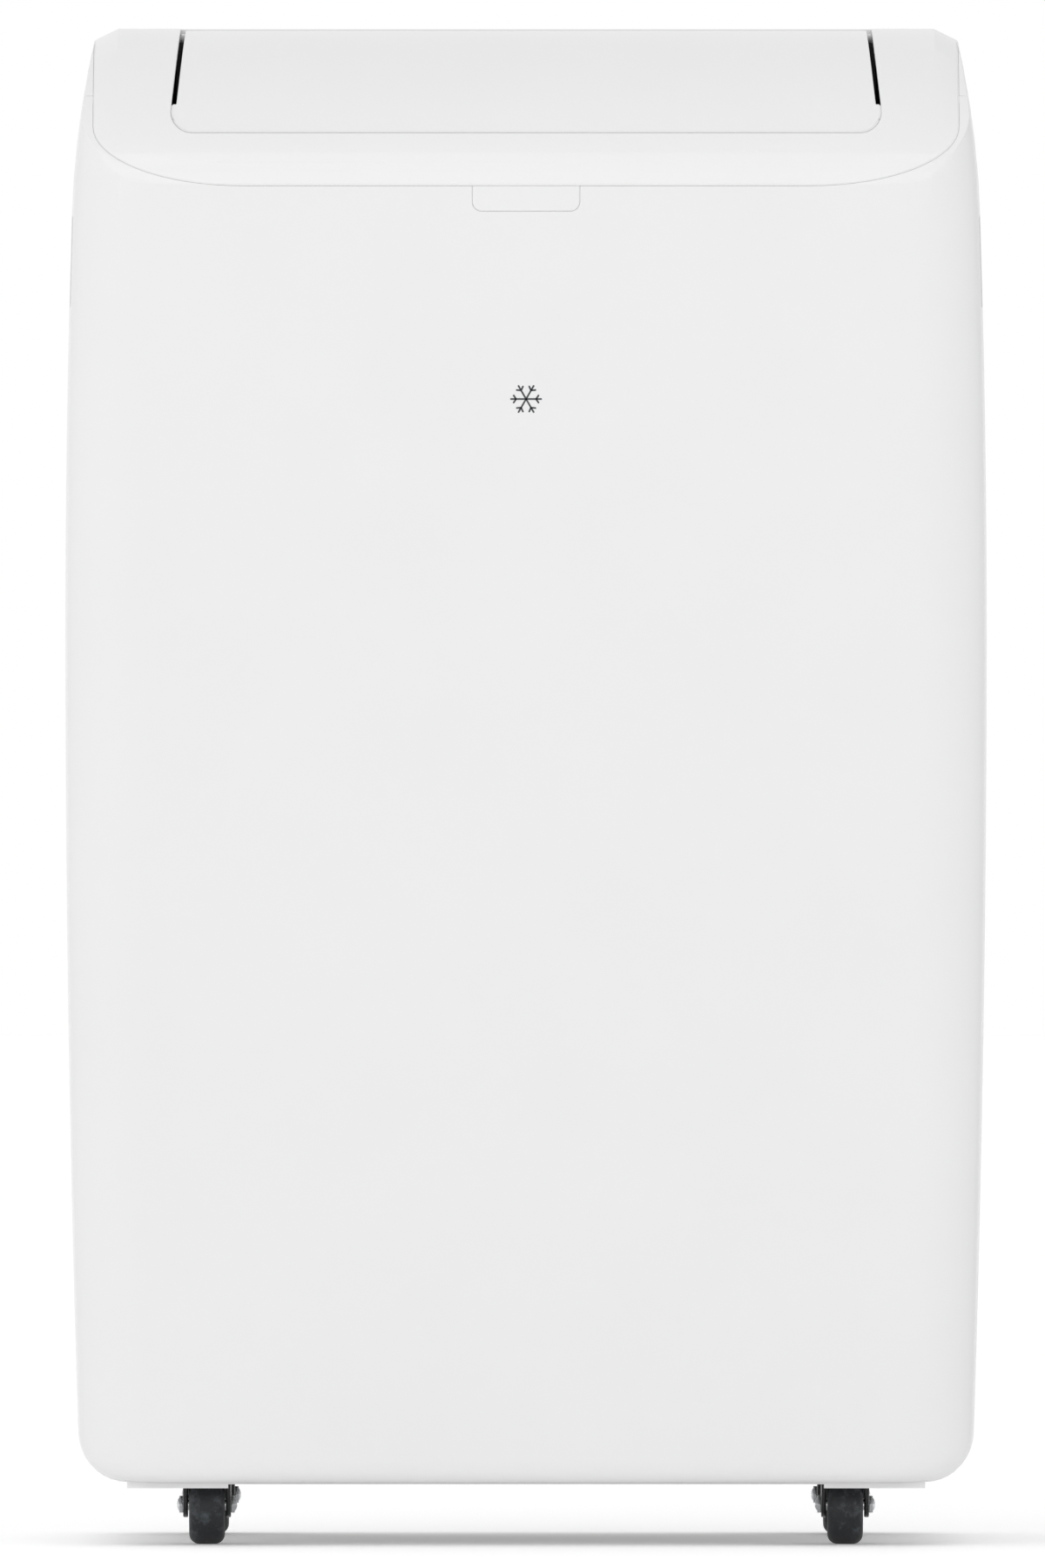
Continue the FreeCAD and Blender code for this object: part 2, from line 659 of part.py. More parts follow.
def grille(label, low, high):
    """A back grille: level slats between upright ribs, with a rim round them."""
    half = "(grille_half - grille_fit)"
    low = "(%s + grille_fit)" % low
    high = "(%s - grille_fit)" % high
    face = (back + " - grille_thick", back)
    plate = box(("-" + half, half), face, (low, high))
    rim = 6
    count = int(size("(%s - %s - %d) / slat_pitch" % (high, low, 2 * rim)))
    slots = []
    for index in range(count):
        start = "%s + %d + %d * slat_pitch" % (low, rim, index)
        slots.append(box(("-%s + %d" % (half, rim), "%s - %d" % (half, rim)),
                         (face[0] + " - 1", face[1] + " + 1"), (start, start + " + slat_gap")))
    ribs = []
    for share in (-0.6, -0.2, 0.2, 0.6):
        x = "%s * %s" % (share, half)
        ribs.append(box((x + " - 1.5", x + " + 1.5"), (face[0], face[1] + " - 0.8"), (low, high)))
    keep(label, joined(cut_apart(plate, slots), *ribs))


def mesh_filter(label, low, high):
    half = "(grille_half - 2)"
    low = "(%s + 2)" % low
    high = "(%s - 2)" % high
    face = (back + " - grille_thick - filter_thick", back + " - grille_thick")
    frame = box(("-" + half, half), face, (low, high))
    pane_width = "(%s - 5)" % half
    middle = "((%s + %s) / 2)" % (low, high)
    panes = []
    for bottom, top in ((low + " + 5", middle + " - 2"), (middle + " + 2", high + " - 5")):
        for left, right in (("-" + pane_width, "-2"), ("2", pane_width)):
            panes.append(box((left, right), (face[0] + " - 1", face[1] + " - 2.6"), (bottom, top)))
            panes.append(box((left, right), (face[1] + " - 1.8", face[1] + " + 1"), (bottom, top)))
    keep(label, cut_apart(frame, panes))


def exhaust_collar():
    tube = rod(collar_outer, "collar_long", "collar_shift", "depth / 2 - collar_long",
               "collar_height", "Y")
    flange = rod("collar_flange", "3", "collar_shift", back, "collar_height", "Y")
    bore = rod("collar_bore", "collar_long + 2", "collar_shift", "depth / 2 - collar_long - 1",
               "collar_height", "Y")
    keep("exhaust_collar", cut(joined(tube, flange), bore))


caster_places = {
    "front_left": ("-caster_across", "-caster_front"),
    "front_right": ("caster_across", "-caster_front"),
    "rear_left": ("-caster_across", "caster_rear"),
    "rear_right": ("caster_across", "caster_rear"),
}


def base_pan():
    tray = shared(pan_space, box(("-width", "width"), ("-depth", "depth"), ("0", "pan_top")))
    hollow = shared(pan_hollow, box(("-width", "width"), ("-depth", "depth"),
                                    (pan_top_face, "pan_top + 5")))
    slab = box(("-(%s - seam)" % floor_half, floor_half + " - seam"),
               (front + " + floor_lip + seam", back + " - floor_lip - seam"),
               ("ground_gap - 1", pan_top_face))
    pads, wells, voids = [], [], []
    for x, y in caster_places.values():
        side = "-" if x.startswith("-") else ""
        reach = [side + "(caster_across - 11)", side + "(%s - seam)" % floor_half]
        if side:
            reach.reverse()
        if y.startswith("-"):
            rows = (front + " + floor_lip + seam", front + " + floor_lip + seam + 60")
        else:
            rows = (back + " - floor_lip - seam - 60", back + " - floor_lip - seam")
        pads.append(box(reach, rows, ("ground_gap - pad_drop", "ground_gap + 1")))
        wells.append(rod("well_radius + pan_wall", "well_top + pan_wall - ground_gap + 1", x, y,
                         "ground_gap - 1"))
        wells.append(rod("stem_radius + 4", "stem_top + 3 - well_top", x, y, "well_top"))
        voids.append(rod("well_radius", "well_top", x, y, "0"))
        voids.append(rod("stem_radius + running_gap", "stem_top", x, y, "0"))
    rear_face = "(%s - seam)" % inside_back
    spout = rod("spout_radius", "wall + seam + pan_wall + 6", "0",
                rear_face + " - pan_wall", plug_z, "Y")
    spout_bore = rod("spout_radius - 2", "60", "0", rear_face + " - 20", plug_z, "Y")
    keep("base_pan", cut(joined(cut(tray, hollow), slab, spout, *(pads + wells)),
                         *(voids + [spout_bore])))
    spout_end = "(%s + wall + seam + 6)" % rear_face
    stem = rod("spout_radius - 2", "14", "0", spout_end + " - 14", plug_z, "Y")
    head = rod("spout_radius + 1", "3", "0", spout_end, plug_z, "Y")
    keep("drain_plug", joined(stem, head))


def casters():
    for corner, (x, y) in caster_places.items():
        axle_y = "%s + caster_trail" % y
        arm_in = "(wheel_half + fork_side_gap)"
        arms = []
        for low, high in ((arm_in, arm_in + " + fork_plate"),
                          ("-%s - fork_plate" % arm_in, "-" + arm_in)):
            arms.append(padded(
                "YZ_Plane",
                [(y + " - 10", "well_top - 4"), (y + " - 10", "well_top - 11"),
                 (axle_y + " - 6", "wheel_radius - 5"), (axle_y + " + 6", "wheel_radius - 5"),
                 (axle_y + " + 7", "wheel_radius + 8"), (y + " + 10", "well_top - 4")],
                "%s + %s" % (x, low), "%s + %s" % (x, high)))
        crown = rod("fork_crown", "4", x, y, "well_top - 6")
        stem = rod("stem_radius", "stem_top - 1 - well_top + 6", x, y, "well_top - 6")
        half_axle = "(wheel_half + fork_side_gap + fork_plate + 3.2)"
        axle_hole = rod("axle_radius", "2 * " + half_axle, "%s - %s" % (x, half_axle), axle_y,
                        "wheel_radius", "X")
        fork = cut(joined(crown, stem, *arms), axle_hole)
        shaft = rod("axle_radius", "2 * " + half_axle, "%s - %s" % (x, half_axle), axle_y,
                    "wheel_radius", "X")
        nuts = []
        for start in ("%s + %s - 3.2" % (x, half_axle), "%s - %s" % (x, half_axle)):
            nuts.append(rod("axle_radius + 2.4", "3.2", start, axle_y, "wheel_radius", "X"))
        keep("caster_fork_" + corner, grouped(fork, joined(shaft, *nuts)))
        tyre_edge = "5"
        wheel = revolved(
            [("axle_radius + wheel_fit", "-wheel_half"), ("wheel_radius - " + tyre_edge, "-wheel_half"),
             ("wheel_radius", "-wheel_half + " + tyre_edge), ("wheel_radius", "wheel_half - " + tyre_edge),
             ("wheel_radius - " + tyre_edge, "wheel_half"), ("axle_radius + wheel_fit", "wheel_half")],
            {1: tyre_edge, 3: tyre_edge},
        )
        wheel.Placement = FreeCAD.Placement(Vector(), turns["X"])
        keep("caster_wheel_" + corner, place(wheel, x, axle_y, "wheel_radius"))


def blower_wheel(label, radius, x, z):
    """A centrifugal wheel: back plate and hub with its shaft, a ring of blades, a front ring."""
    inner = "(0.86 * %s)" % radius
    body = revolved([("0", "-22"), ("shaft_radius", "-22"), ("shaft_radius", "0"),
                     (radius, "0"), (radius, "1.6"), ("12", "1.6"), ("12", "14"), ("0", "14")])
    blade = outline(body, "XY_Plane", [(inner, "0"), ("%s - 0.5" % radius, "2.6"),
                                       ("%s - 0.5" % radius, "4"), (inner, "1.4")])
    rows = body.newObject("PartDesign::Pad", "blade")
    rows.Profile = blade
    rows.setExpression("Length", linked("fan_wide - 1"))
    ring = body.newObject("PartDesign::PolarPattern", "blades")
    ring.Originals = [rows]
    ring.Axis = (blade, ["N_Axis"])
    ring.Angle = 360
    ring.setExpression("Occurrences", linked("blades"))
    body.Tip = ring
    hoop = outline(body, "XZ_Plane", [(inner, "fan_wide - 3"), (radius, "fan_wide - 3"),
                                      (radius, "fan_wide"), (inner, "fan_wide")])
    turn = body.newObject("PartDesign::Revolution", "hoop")
    turn.Profile = hoop
    turn.ReferenceAxis = (hoop, ["V_Axis"])
    turn.Angle = 360
    body.Tip = turn
    body.Placement = FreeCAD.Placement(Vector(), turns["Y"])
    keep(label, place(body, x, fan_front, z))


def scroll(label, radius, x, z, top, extra=None, hole=None):
    outer = "(%s + scroll_gap + scroll_wall)" % radius
    mouth = horn_mouth(x, radius)
    body = [rod(outer, "%s - %s" % (scroll_back, scroll_front), x, scroll_front, z, "Y"),
            box((mouth[0] + " - scroll_wall", mouth[1] + " + scroll_wall"),
                (scroll_front, scroll_back), (z, top))]
    clear = [rod("%s + scroll_gap" % radius, "%s - %s - 2 * scroll_wall" % (scroll_back, scroll_front),
                 x, scroll_front + " + scroll_wall", z, "Y"),
             box(mouth, (scroll_front + " + scroll_wall", scroll_back + " - scroll_wall"),
                 (z, top + (" + 1" if extra is None else " - scroll_wall"))),
             rod("0.84 * %s" % radius, "20", x, scroll_back + " - 10", z, "Y"),
             rod("shaft_radius + 4", "20", x, scroll_front + " - 10", z, "Y")]
    if extra is not None:
        body.append(extra)
        clear += hole
    keep(label, cut(joined(*body), *clear))


def fan_motor(label, x, z):
    body = revolved([("shaft_radius + running_gap", "0"), ("motor_radius", "0"),
                     ("motor_radius", "0.55 * motor_long"), ("motor_radius - 8", "motor_long - 6"),
                     ("14", "motor_long - 6"), ("14", "motor_long"),
                     ("shaft_radius + running_gap", "motor_long")])
    body.Placement = FreeCAD.Placement(Vector(), turns["Y"])
    keep(label, place(body, x, scroll_front + " - motor_long", z))


def air_movers():
    blower_wheel("evaporator_wheel", "evap_fan_radius", "evap_fan_x", "evap_fan_z")
    blower_wheel("condenser_wheel", "cond_fan_radius", "cond_fan_x", "cond_fan_z")
    scroll("evaporator_scroll", "evap_fan_radius", "evap_fan_x", "evap_fan_z", duct_low)
    mouth = horn_mouth("cond_fan_x", "cond_fan_radius")
    left = "(collar_shift - %s - 1)" % collar_outer
    collar_end = "(depth / 2 - collar_long)"
    plenum_low = "(collar_height - %s - 5)" % collar_outer
    plenum_top = "(collar_height + %s + 3)" % collar_outer
    plenum = box((left, mouth[1] + " + scroll_wall"), (scroll_front, collar_end),
                 (plenum_low, plenum_top))
    hollow = box((left + " + scroll_wall", mouth[1]),
                 (scroll_front + " + scroll_wall", collar_end + " - scroll_wall"),
                 (plenum_low + " + scroll_wall", plenum_top + " - scroll_wall"))
    way_out = rod("collar_bore", "10", "collar_shift", collar_end + " - 5", "collar_height", "Y")
    scroll("condenser_scroll", "cond_fan_radius", "cond_fan_x", "cond_fan_z", plenum_top, plenum,
           [hollow, way_out])
    fan_motor("evaporator_motor", "evap_fan_x", "evap_fan_z")
    fan_motor("condenser_motor", "cond_fan_x", "cond_fan_z")


def finned_coil(label, low, high):
    """A block of fins between end plates, with return bends standing out at both ends."""
    low, high = "(%s)" % low, "(%s)" % high
    block = box(("-coil_half", "coil_half"), (coil_front, coil_back), (low, high))
    facing = {1: Rotation(Vector(0, 0, 1), Vector(1, 0, 0), Vector(0, 1, 0)),
              -1: Rotation(Vector(0, 0, 1), Vector(-1, 0, 0), Vector(0, -1, 0))}
    bends = []
    count = int(size("(%s - %s - 24) / 38" % (high, low)))
    for side, turn in facing.items():
        for index in range(count):
            bend = doc.addObject("Part::Torus", "return_bend")
            bend.Radius1 = 9.5
            bend.Radius2 = 3.6
            bend.Angle3 = 180
            bend.Placement = FreeCAD.Placement(Vector(), turn)
            x = "coil_half" if side > 0 else "-coil_half"
            bends.append(place(bend, x, "(%s + %s) / 2" % (coil_front, coil_back),
                               "%s + 24 + %d * 38" % (low, index)))
    keep(label, joined(block, *bends))


def drip_tray():
    shelf = box(("30 - width / 2 + wall", "width / 2 - wall - 30"),
                (front + " + wall + 10", tray_rear), ("drip_low", "drip_low + drip_wall"))
    rim_half = "(coil_half + 18)"
    rim = box(("-" + rim_half, rim_half), (coil_front + " - 6", tray_rear),
              ("drip_low", "drip_low + drip_tall"))
    basin = box(("-%s + drip_wall" % rim_half, rim_half + " - drip_wall"),
                (coil_front + " - 6 + drip_wall", tray_rear + " - drip_wall"),
                ("drip_low + drip_wall", "drip_low + drip_tall + 1"))
    spout = rod("spout_radius", "%s + 7 - %s" % (back, tray_rear), "spout_x", tray_rear, spout_z, "Y")
    bore = rod("spout_radius - 2.5", "60", "spout_x", tray_rear + " - 5", spout_z, "Y")
    pipe_gap = box(("-width", "-%s - 2" % rim_half), ("-30", "depth"), ("0", "height"))
    keep("drip_tray", cut(joined(shelf, rim, spout), basin, bore, pipe_gap))
    cap = rod("spout_radius + 3", "depth / 2 - (%s + 0.5)" % back, "spout_x", back + " + 0.5",
              spout_z, "Y")
    socket = rod("spout_radius + running_gap", "7", "spout_x", back + " + 0.1", spout_z, "Y")
    keep("drain_cap", cut(cap, socket))


compressor_low = "(%s + grommet_tall)" % pan_top_face


def refrigeration():
    can = revolved([("0", "0"), ("compressor_radius - 8", "0"), ("compressor_radius", "8"),
                    ("compressor_radius", "compressor_tall - 30"),
                    ("0.62 * compressor_radius", "compressor_tall - 6"),
                    ("9", "compressor_tall - 2"), ("9", "compressor_tall"), ("0", "compressor_tall")],
                   {3: "-40"})
    plate = rod("compressor_radius + 10", "3", "-compressor_x", "-compressor_y", compressor_low)
    place(can, "-compressor_x", "-compressor_y", compressor_low)
    feet = []
    for turn in range(3):
        angle = math.radians(90 + 120 * turn)
        feet.append(rod("8", "grommet_tall",
                        "-compressor_x + %.4f * compressor_radius" % math.cos(angle),
                        "-compressor_y + %.4f * compressor_radius" % math.sin(angle), pan_top_face))
    keep("compressor", joined(can, plate))
    keep("compressor_grommets", grouped(*feet))
    vessel = revolved([("0", "0"), ("14", "0"), ("20", "8"), ("20", "130"), ("8", "142"),
                       ("8", "150"), ("0", "150")])
    keep("accumulator", place(vessel, "-compressor_x + compressor_radius + 26", "-compressor_y",
                              compressor_low + " + 40"))
    finned_coil("evaporator_coil", "drip_low + drip_wall", "upper_high + 4")
    finned_coil("condenser_coil", "well_top + pan_wall", "lower_high + 8")


def pipe(label, radius, corners, bend):
    """A round pipe: straight runs joined by tangent arcs of one bend radius."""
    points = [Vector(*[size(value) for value in corner]) for corner in corners]
    edges, start = [], points[0]
    for before, corner, after in zip(points, points[1:], points[2:]):
        back_way = (before - corner).normalize()
        on_way = (after - corner).normalize()
        half_turn = (math.pi - back_way.getAngle(on_way)) / 2
        reach = bend * math.tan(half_turn)
        first, last = corner + back_way * reach, corner + on_way * reach
        centre_way = (back_way + on_way).normalize()
        middle = corner + centre_way * (bend / math.cos(half_turn) - bend)
        edges.append(Part.LineSegment(start, first).toShape())
        edges.append(Part.Arc(first, middle, last).toShape())
        start = last
    edges.append(Part.LineSegment(start, points[-1]).toShape())
    path = Part.Wire(edges)
    circle = Part.Wire(Part.makeCircle(radius, points[0], points[1] - points[0]))
    tube = doc.addObject("Part::Feature", "pipe")
    tube.Shape = path.makePipeShell([circle], True, False)
    expected = math.pi * radius**2 * path.Length
    print(label, "length", round(path.Length, 1), "volume ratio", round(tube.Shape.Volume / expected, 4))
    keep(label, tube)


def pipework():
    coil_mid = "(%s + %s) / 2" % (coil_front, coil_back)
    top = compressor_low + " + compressor_tall"
    pipe("discharge_pipe", 4,
         [("-compressor_x", "-compressor_y", top),
          ("-compressor_x", "-compressor_y", top + " + 40"),
          ("-coil_half - 30", "20", top + " + 40"),
          ("-coil_half - 30", coil_mid, top + " + 40"),
          ("-coil_half - 30", coil_mid, "lower_high - 14"),
          ("-coil_half", coil_mid, "lower_high - 14")], 14)
    vessel_x = "(-compressor_x + compressor_radius + 26)"
    pipe("suction_pipe", 5,
         [(vessel_x, "-compressor_y", compressor_low + " + 190"),
          (vessel_x, "-compressor_y", "collar_height - 20"),
          ("-coil_half - 42", "-10", "collar_height - 20"),
          ("-coil_half - 42", "-10", "upper_low + 92"),
          ("-coil_half - 42", coil_mid, "upper_low + 92"),
          ("-coil_half", coil_mid, "upper_low + 92")], 18)
    pipe("capillary_tube", 1.6,
         [("-coil_half", coil_mid, "well_top + pan_wall + 6"),
          ("-coil_half - 24", coil_mid, "well_top + pan_wall + 6"),
          ("-coil_half - 24", "60", "well_top + pan_wall + 60"),
          ("-coil_half - 24", "60", "upper_low + 40"),
          ("-coil_half - 24", coil_mid, "upper_low + 50"),
          ("-coil_half", coil_mid, "upper_low + 50")], 8)


def splash_wheel():
    middle = "(%s + splash_radius + 4)" % pan_top_face
    disc_y = "(%s - 16)" % coil_front
    disc = rod("splash_radius", "3", "splash_x", disc_y, middle, "Y")
    notches = []
    for index in range(10):
        angle = 2 * math.pi * index / 10
        notches.append(rod("3", "9", "splash_x + %.5f * splash_radius" % math.cos(angle), disc_y + " - 3",
                           middle + " + %.5f * splash_radius" % math.sin(angle), "Y"))
    shaft = rod("2", "12", "splash_x", disc_y + " - 12", middle, "Y")
    keep("splash_wheel", joined(cut_apart(disc, notches), shaft))
    can = rod("14", "28", "splash_x", disc_y + " - 32", middle, "Y")
    foot = box(("splash_x - 10", "splash_x + 10"), (disc_y + " - 28", disc_y + " - 8"),
               (pan_top_face, middle + " - 10"))
    bore = rod("2 + running_gap", "40", "splash_x", disc_y + " - 20", middle, "Y")
    keep("splash_motor", cut(joined(can, foot), bore))
    stem = rod("3", "34", "splash_x - 60", disc_y, pan_top_face)
    bulb = rod("10", "12", "splash_x - 60", disc_y, pan_top_face + " + 14")
    keep("float_switch", joined(stem, bulb))


def electrical_box():
    low, high = "evap_fan_z - 90", "evap_fan_z + 54"
    x = ("112", "200")
    y = (front + " + wall + 20", front + " + wall + 68")
    wall = "1.2"
    tray = box(x, y, (low, high))
    room = box((x[0] + " + " + wall, x[1] + " - " + wall), (y[0] + " - 1", y[1] + " - " + wall),
               (low + " + " + wall, high + " - " + wall))
    cover = box(x, (y[0] + " - " + wall, y[0]), (low, high))
    keep("electrical_box", grouped(cut(tray, room), cover))


def cord_gland():
    sleeve = rod("gland_radius", "wall + 14", "gland_x", back + " - wall - 8", "gland_z", "Y")
    rim = rod("gland_radius + 4", "3", "gland_x", back, "gland_z", "Y")
    bore = rod("gland_bore", "40", "gland_x", back + " - 20", "gland_z", "Y")
    keep("cord_gland", cut(joined(sleeve, rim), bore))


front_panel()
side_panels()
rear_shell()
handle_cup(1, "handle_cup_right")
handle_cup(-1, "handle_cup_left")
top_console()
louver_flap()
outlet_duct()
vanes()
control_panel()
for place_name, low, high in (("upper", "upper_low", "upper_high"), ("lower", "lower_low", "lower_high")):
    grille(place_name + "_grille", low, high)
    mesh_filter(place_name + "_filter", low, high)
exhaust_collar()
base_pan()
casters()
air_movers()
drip_tray()
refrigeration()
pipework()
splash_wheel()
electrical_box()
cord_gland()
doc.recompute()

faults = [thing.Name for thing in doc.Objects if {"Invalid", "Error"} & set(thing.State)]
for label, thing in nodes.items():
    if thing.Shape.isNull() or not thing.Shape.isValid():
        faults.append(label)
if faults:
    raise RuntimeError("not built: " + ", ".join(faults))

os.makedirs("parts", exist_ok=True)
for label, thing in nodes.items():
    thing.Shape.exportStep("parts/%s.step" % label)
print(len(nodes), "nodes")
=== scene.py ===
import math

import bmesh
import bpy
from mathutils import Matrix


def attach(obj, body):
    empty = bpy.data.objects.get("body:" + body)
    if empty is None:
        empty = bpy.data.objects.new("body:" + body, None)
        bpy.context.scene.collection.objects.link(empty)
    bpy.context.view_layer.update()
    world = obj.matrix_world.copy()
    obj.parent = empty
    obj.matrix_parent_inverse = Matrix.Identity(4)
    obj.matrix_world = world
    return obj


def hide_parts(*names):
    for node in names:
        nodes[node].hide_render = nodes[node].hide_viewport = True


# Portable air conditioner. Metres, +Z up, the front faces -Y, the origin is on the floor.
# Sizes in the dictionaries are in millimetres.

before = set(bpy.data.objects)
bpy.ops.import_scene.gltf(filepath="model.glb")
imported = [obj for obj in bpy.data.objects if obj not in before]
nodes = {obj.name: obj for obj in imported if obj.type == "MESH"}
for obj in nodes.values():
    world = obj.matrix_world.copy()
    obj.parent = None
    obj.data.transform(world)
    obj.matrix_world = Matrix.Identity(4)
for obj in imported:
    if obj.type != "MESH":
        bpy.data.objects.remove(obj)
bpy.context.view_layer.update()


def mm(*values):
    scaled = [value / 1000 for value in values]
    return scaled[0] if len(scaled) == 1 else tuple(scaled)


# Working in object and edit mode.

def activate(piece):
    if bpy.context.mode != "OBJECT":
        bpy.ops.object.mode_set(mode="OBJECT")
    bpy.ops.object.select_all(action="DESELECT")
    piece.select_set(True)
    bpy.context.view_layer.objects.active = piece


def openMesh(piece):
    activate(piece)
    bpy.ops.object.mode_set(mode="EDIT")
    bpy.ops.mesh.select_mode(type="VERT")
    bpy.ops.mesh.select_all(action="DESELECT")


def closeMesh():
    bpy.ops.object.mode_set(mode="OBJECT")


def pick(piece, kind, test):
    # selects the verts, edges or faces whose middle, in millimetres, passes the test
    bpy.ops.mesh.select_mode(type=kind)
    bpy.ops.mesh.select_all(action="DESELECT")
    mesh = bmesh.from_edit_mesh(piece.data)
    parts = {"VERT": mesh.verts, "EDGE": mesh.edges, "FACE": mesh.faces}[kind]
    for part in parts:
        if kind == "VERT":
            middle = part.co
        elif kind == "EDGE":
            middle = (part.verts[0].co + part.verts[1].co) / 2
        else:
            middle = part.calc_center_median()
        if test(middle * 1000, part):
            part.select_set(True)
    bmesh.update_edit_mesh(piece.data)


def span(edge, axis):
    # how far an edge runs along an axis, in millimetres
    return abs(getattr(edge.verts[0].co, axis) - getattr(edge.verts[1].co, axis)) * 1000


def named(name):
    piece = bpy.context.object
    piece.name = name
    piece.data.name = name
    bpy.ops.object.transform_apply(location=True, rotation=True, scale=True)
    return piece


def addBlock(name, low, high):
    if bpy.context.mode != "OBJECT":
        closeMesh()
    bpy.ops.object.select_all(action="DESELECT")
    middle = [(a + b) / 2 for a, b in zip(low, high)]
    bpy.ops.mesh.primitive_cube_add(size=1, location=mm(*middle))
    bpy.context.object.scale = mm(*[b - a for a, b in zip(low, high)])
    return named(name)


turnTo = {"X": (0, math.pi / 2, 0), "Y": (-math.pi / 2, 0, 0), "Z": (0, 0, 0)}
beyond = 260  # how far cutters reach past the outside


def addRod(name, radius, low, high, middle, along="Z", sides=48):
    # a cylinder between two stations on the named axis
    if bpy.context.mode != "OBJECT":
        closeMesh()
    bpy.ops.object.select_all(action="DESELECT")
    centre = list(middle)
    centre["XYZ".index(along)] = (low + high) / 2
    bpy.ops.mesh.primitive_cylinder_add(
        vertices=sides,
        radius=mm(radius),
        depth=mm(high - low),
        location=mm(*centre),
        rotation=turnTo[along],
    )
    return named(name)


def addLine(name, points, fill=True):
    # one vertex, extruded from point to point, then closed by a face or by an edge
    bpy.ops.object.select_all(action="DESELECT")
    bpy.ops.mesh.primitive_plane_add(size=0.001, location=mm(*points[0]))
    piece = named(name)
    openMesh(piece)
    bpy.ops.mesh.select_all(action="SELECT")
    bpy.ops.mesh.merge(type="CENTER")
    for before, after in zip(points, points[1:]):
        step = [b - a for a, b in zip(before, after)]
        bpy.ops.mesh.extrude_region_move(TRANSFORM_OT_translate={"value": mm(*step)})
    if fill:
        bpy.ops.mesh.select_all(action="SELECT")
    else:
        ends = [points[0], points[-1]]
        pick(piece, "VERT", lambda p, v: any(math.dist(p, end) < 0.02 for end in ends))
    bpy.ops.mesh.edge_face_add()
    closeMesh()
    return piece


def modify(piece, kind, **settings):
    activate(piece)
    bpy.ops.object.modifier_add(type=kind)
    modifier = piece.modifiers[-1]
    for name, value in settings.items():
        setattr(modifier, name, value)
    bpy.ops.object.modifier_apply(modifier=modifier.name)
    return piece


def boolean(piece, tool, operation):
    modify(piece, "BOOLEAN", operation=operation, object=tool, solver="EXACT", material_mode="TRANSFER")
    bpy.data.objects.remove(tool)
    return piece


def duplicate(piece, name):
    activate(piece)
    bpy.ops.object.duplicate(linked=False)
    twin = bpy.context.object
    twin.name = name
    twin.data.name = name
    return twin


def join(name, pieces):
    activate(pieces[0])
    for piece in pieces:
        piece.select_set(True)
    bpy.context.view_layer.objects.active = pieces[0]
    if len(pieces) > 1:
        bpy.ops.object.join()
    pieces[0].name = name
    pieces[0].data.name = name
    return pieces[0]


def move(piece, offset):
    openMesh(piece)
    bpy.ops.mesh.select_all(action="SELECT")
    bpy.ops.transform.translate(value=mm(*offset))
    closeMesh()
    return piece


def finishEdges(piece, width=0.4, angle=50, smooth=28, segments=2):
    # small moulded radii on the edges, then smooth shading with flat faces kept flat
    if width:
        modify(piece, "BEVEL", width=mm(width), segments=segments, limit_method="ANGLE",
               angle_limit=math.radians(angle), use_clamp_overlap=False)
    activate(piece)
    bpy.ops.object.shade_smooth_by_angle(angle=math.radians(smooth))
    modify(piece, "WEIGHTED_NORMAL", weight=50, keep_sharp=True)
    return piece


# Materials.

def hexColour(code):
    # an sRGB hex colour as linear light
    channels = []
    for index in (0, 2, 4):
        value = int(code[index:index + 2], 16) / 255
        channels.append(value / 12.92 if value <= 0.04045 else ((value + 0.055) / 1.055) ** 2.4)
    return (*channels, 1)


def addNode(tree, kind, settings=None, links=None):
    node = tree.nodes.new("ShaderNode" + kind)
    for name, value in (settings or {}).items():
        if isinstance(name, int) or name in node.inputs:
            node.inputs[name].default_value = value
        else:
            setattr(node, name, value)
    for name, source in (links or {}).items():
        tree.links.new(source, node.inputs[name])
    return node


def startMaterial(name, shader):
    material = bpy.data.materials.new(name)
    material.use_nodes = True
    tree = material.node_tree
    tree.nodes.clear()
    spot = addNode(tree, "TexCoord").outputs["Object"]
    surface = addNode(tree, "BsdfPrincipled", shader)
    addNode(tree, "OutputMaterial", None, {"Surface": surface.outputs[0]})
    return material, tree, spot, surface


def blendColour(tree, factor, first, second):
    colours = {"data_type": "RGBA", 6: hexColour(first), 7: hexColour(second)}
    mix = addNode(tree, "Mix", colours, {0: factor})
    return mix.outputs[2]


def spread(tree, source, low, high, fromLow=0.3, fromHigh=0.7):
    limits = {"From Min": fromLow, "From Max": fromHigh, "To Min": low, "To Max": high}
    ramp = addNode(tree, "MapRange", limits, {"Value": source})
    return ramp.outputs["Result"]


def mouldedPlastic(name, colours, roughness, grain, depth, ior=1.5, coat=0.0):
    # injection moulded: even colour, faint flow clouding, and a fine spark-eroded grain
    shader = {"IOR": ior, "Coat Weight": coat, "Coat Roughness": 0.12}
    material, tree, spot, surface = startMaterial(name, shader)
    cloud = addNode(tree, "TexNoise", {"Scale": 1 / mm(55), "Detail": 3}, {"Vector": spot})
    fine = addNode(tree, "TexNoise", {"Scale": 1 / mm(grain), "Detail": 2}, {"Vector": spot})
    tree.links.new(blendColour(tree, spread(tree, cloud.outputs["Fac"], 0, 1), *colours),
                   surface.inputs["Base Color"])
    tree.links.new(spread(tree, cloud.outputs["Fac"], *roughness), surface.inputs["Roughness"])
    bump = addNode(tree, "Bump", {"Strength": 1, "Distance": mm(depth)}, {"Height": fine.outputs["Fac"]})
    tree.links.new(bump.outputs["Normal"], surface.inputs["Normal"])
    return material


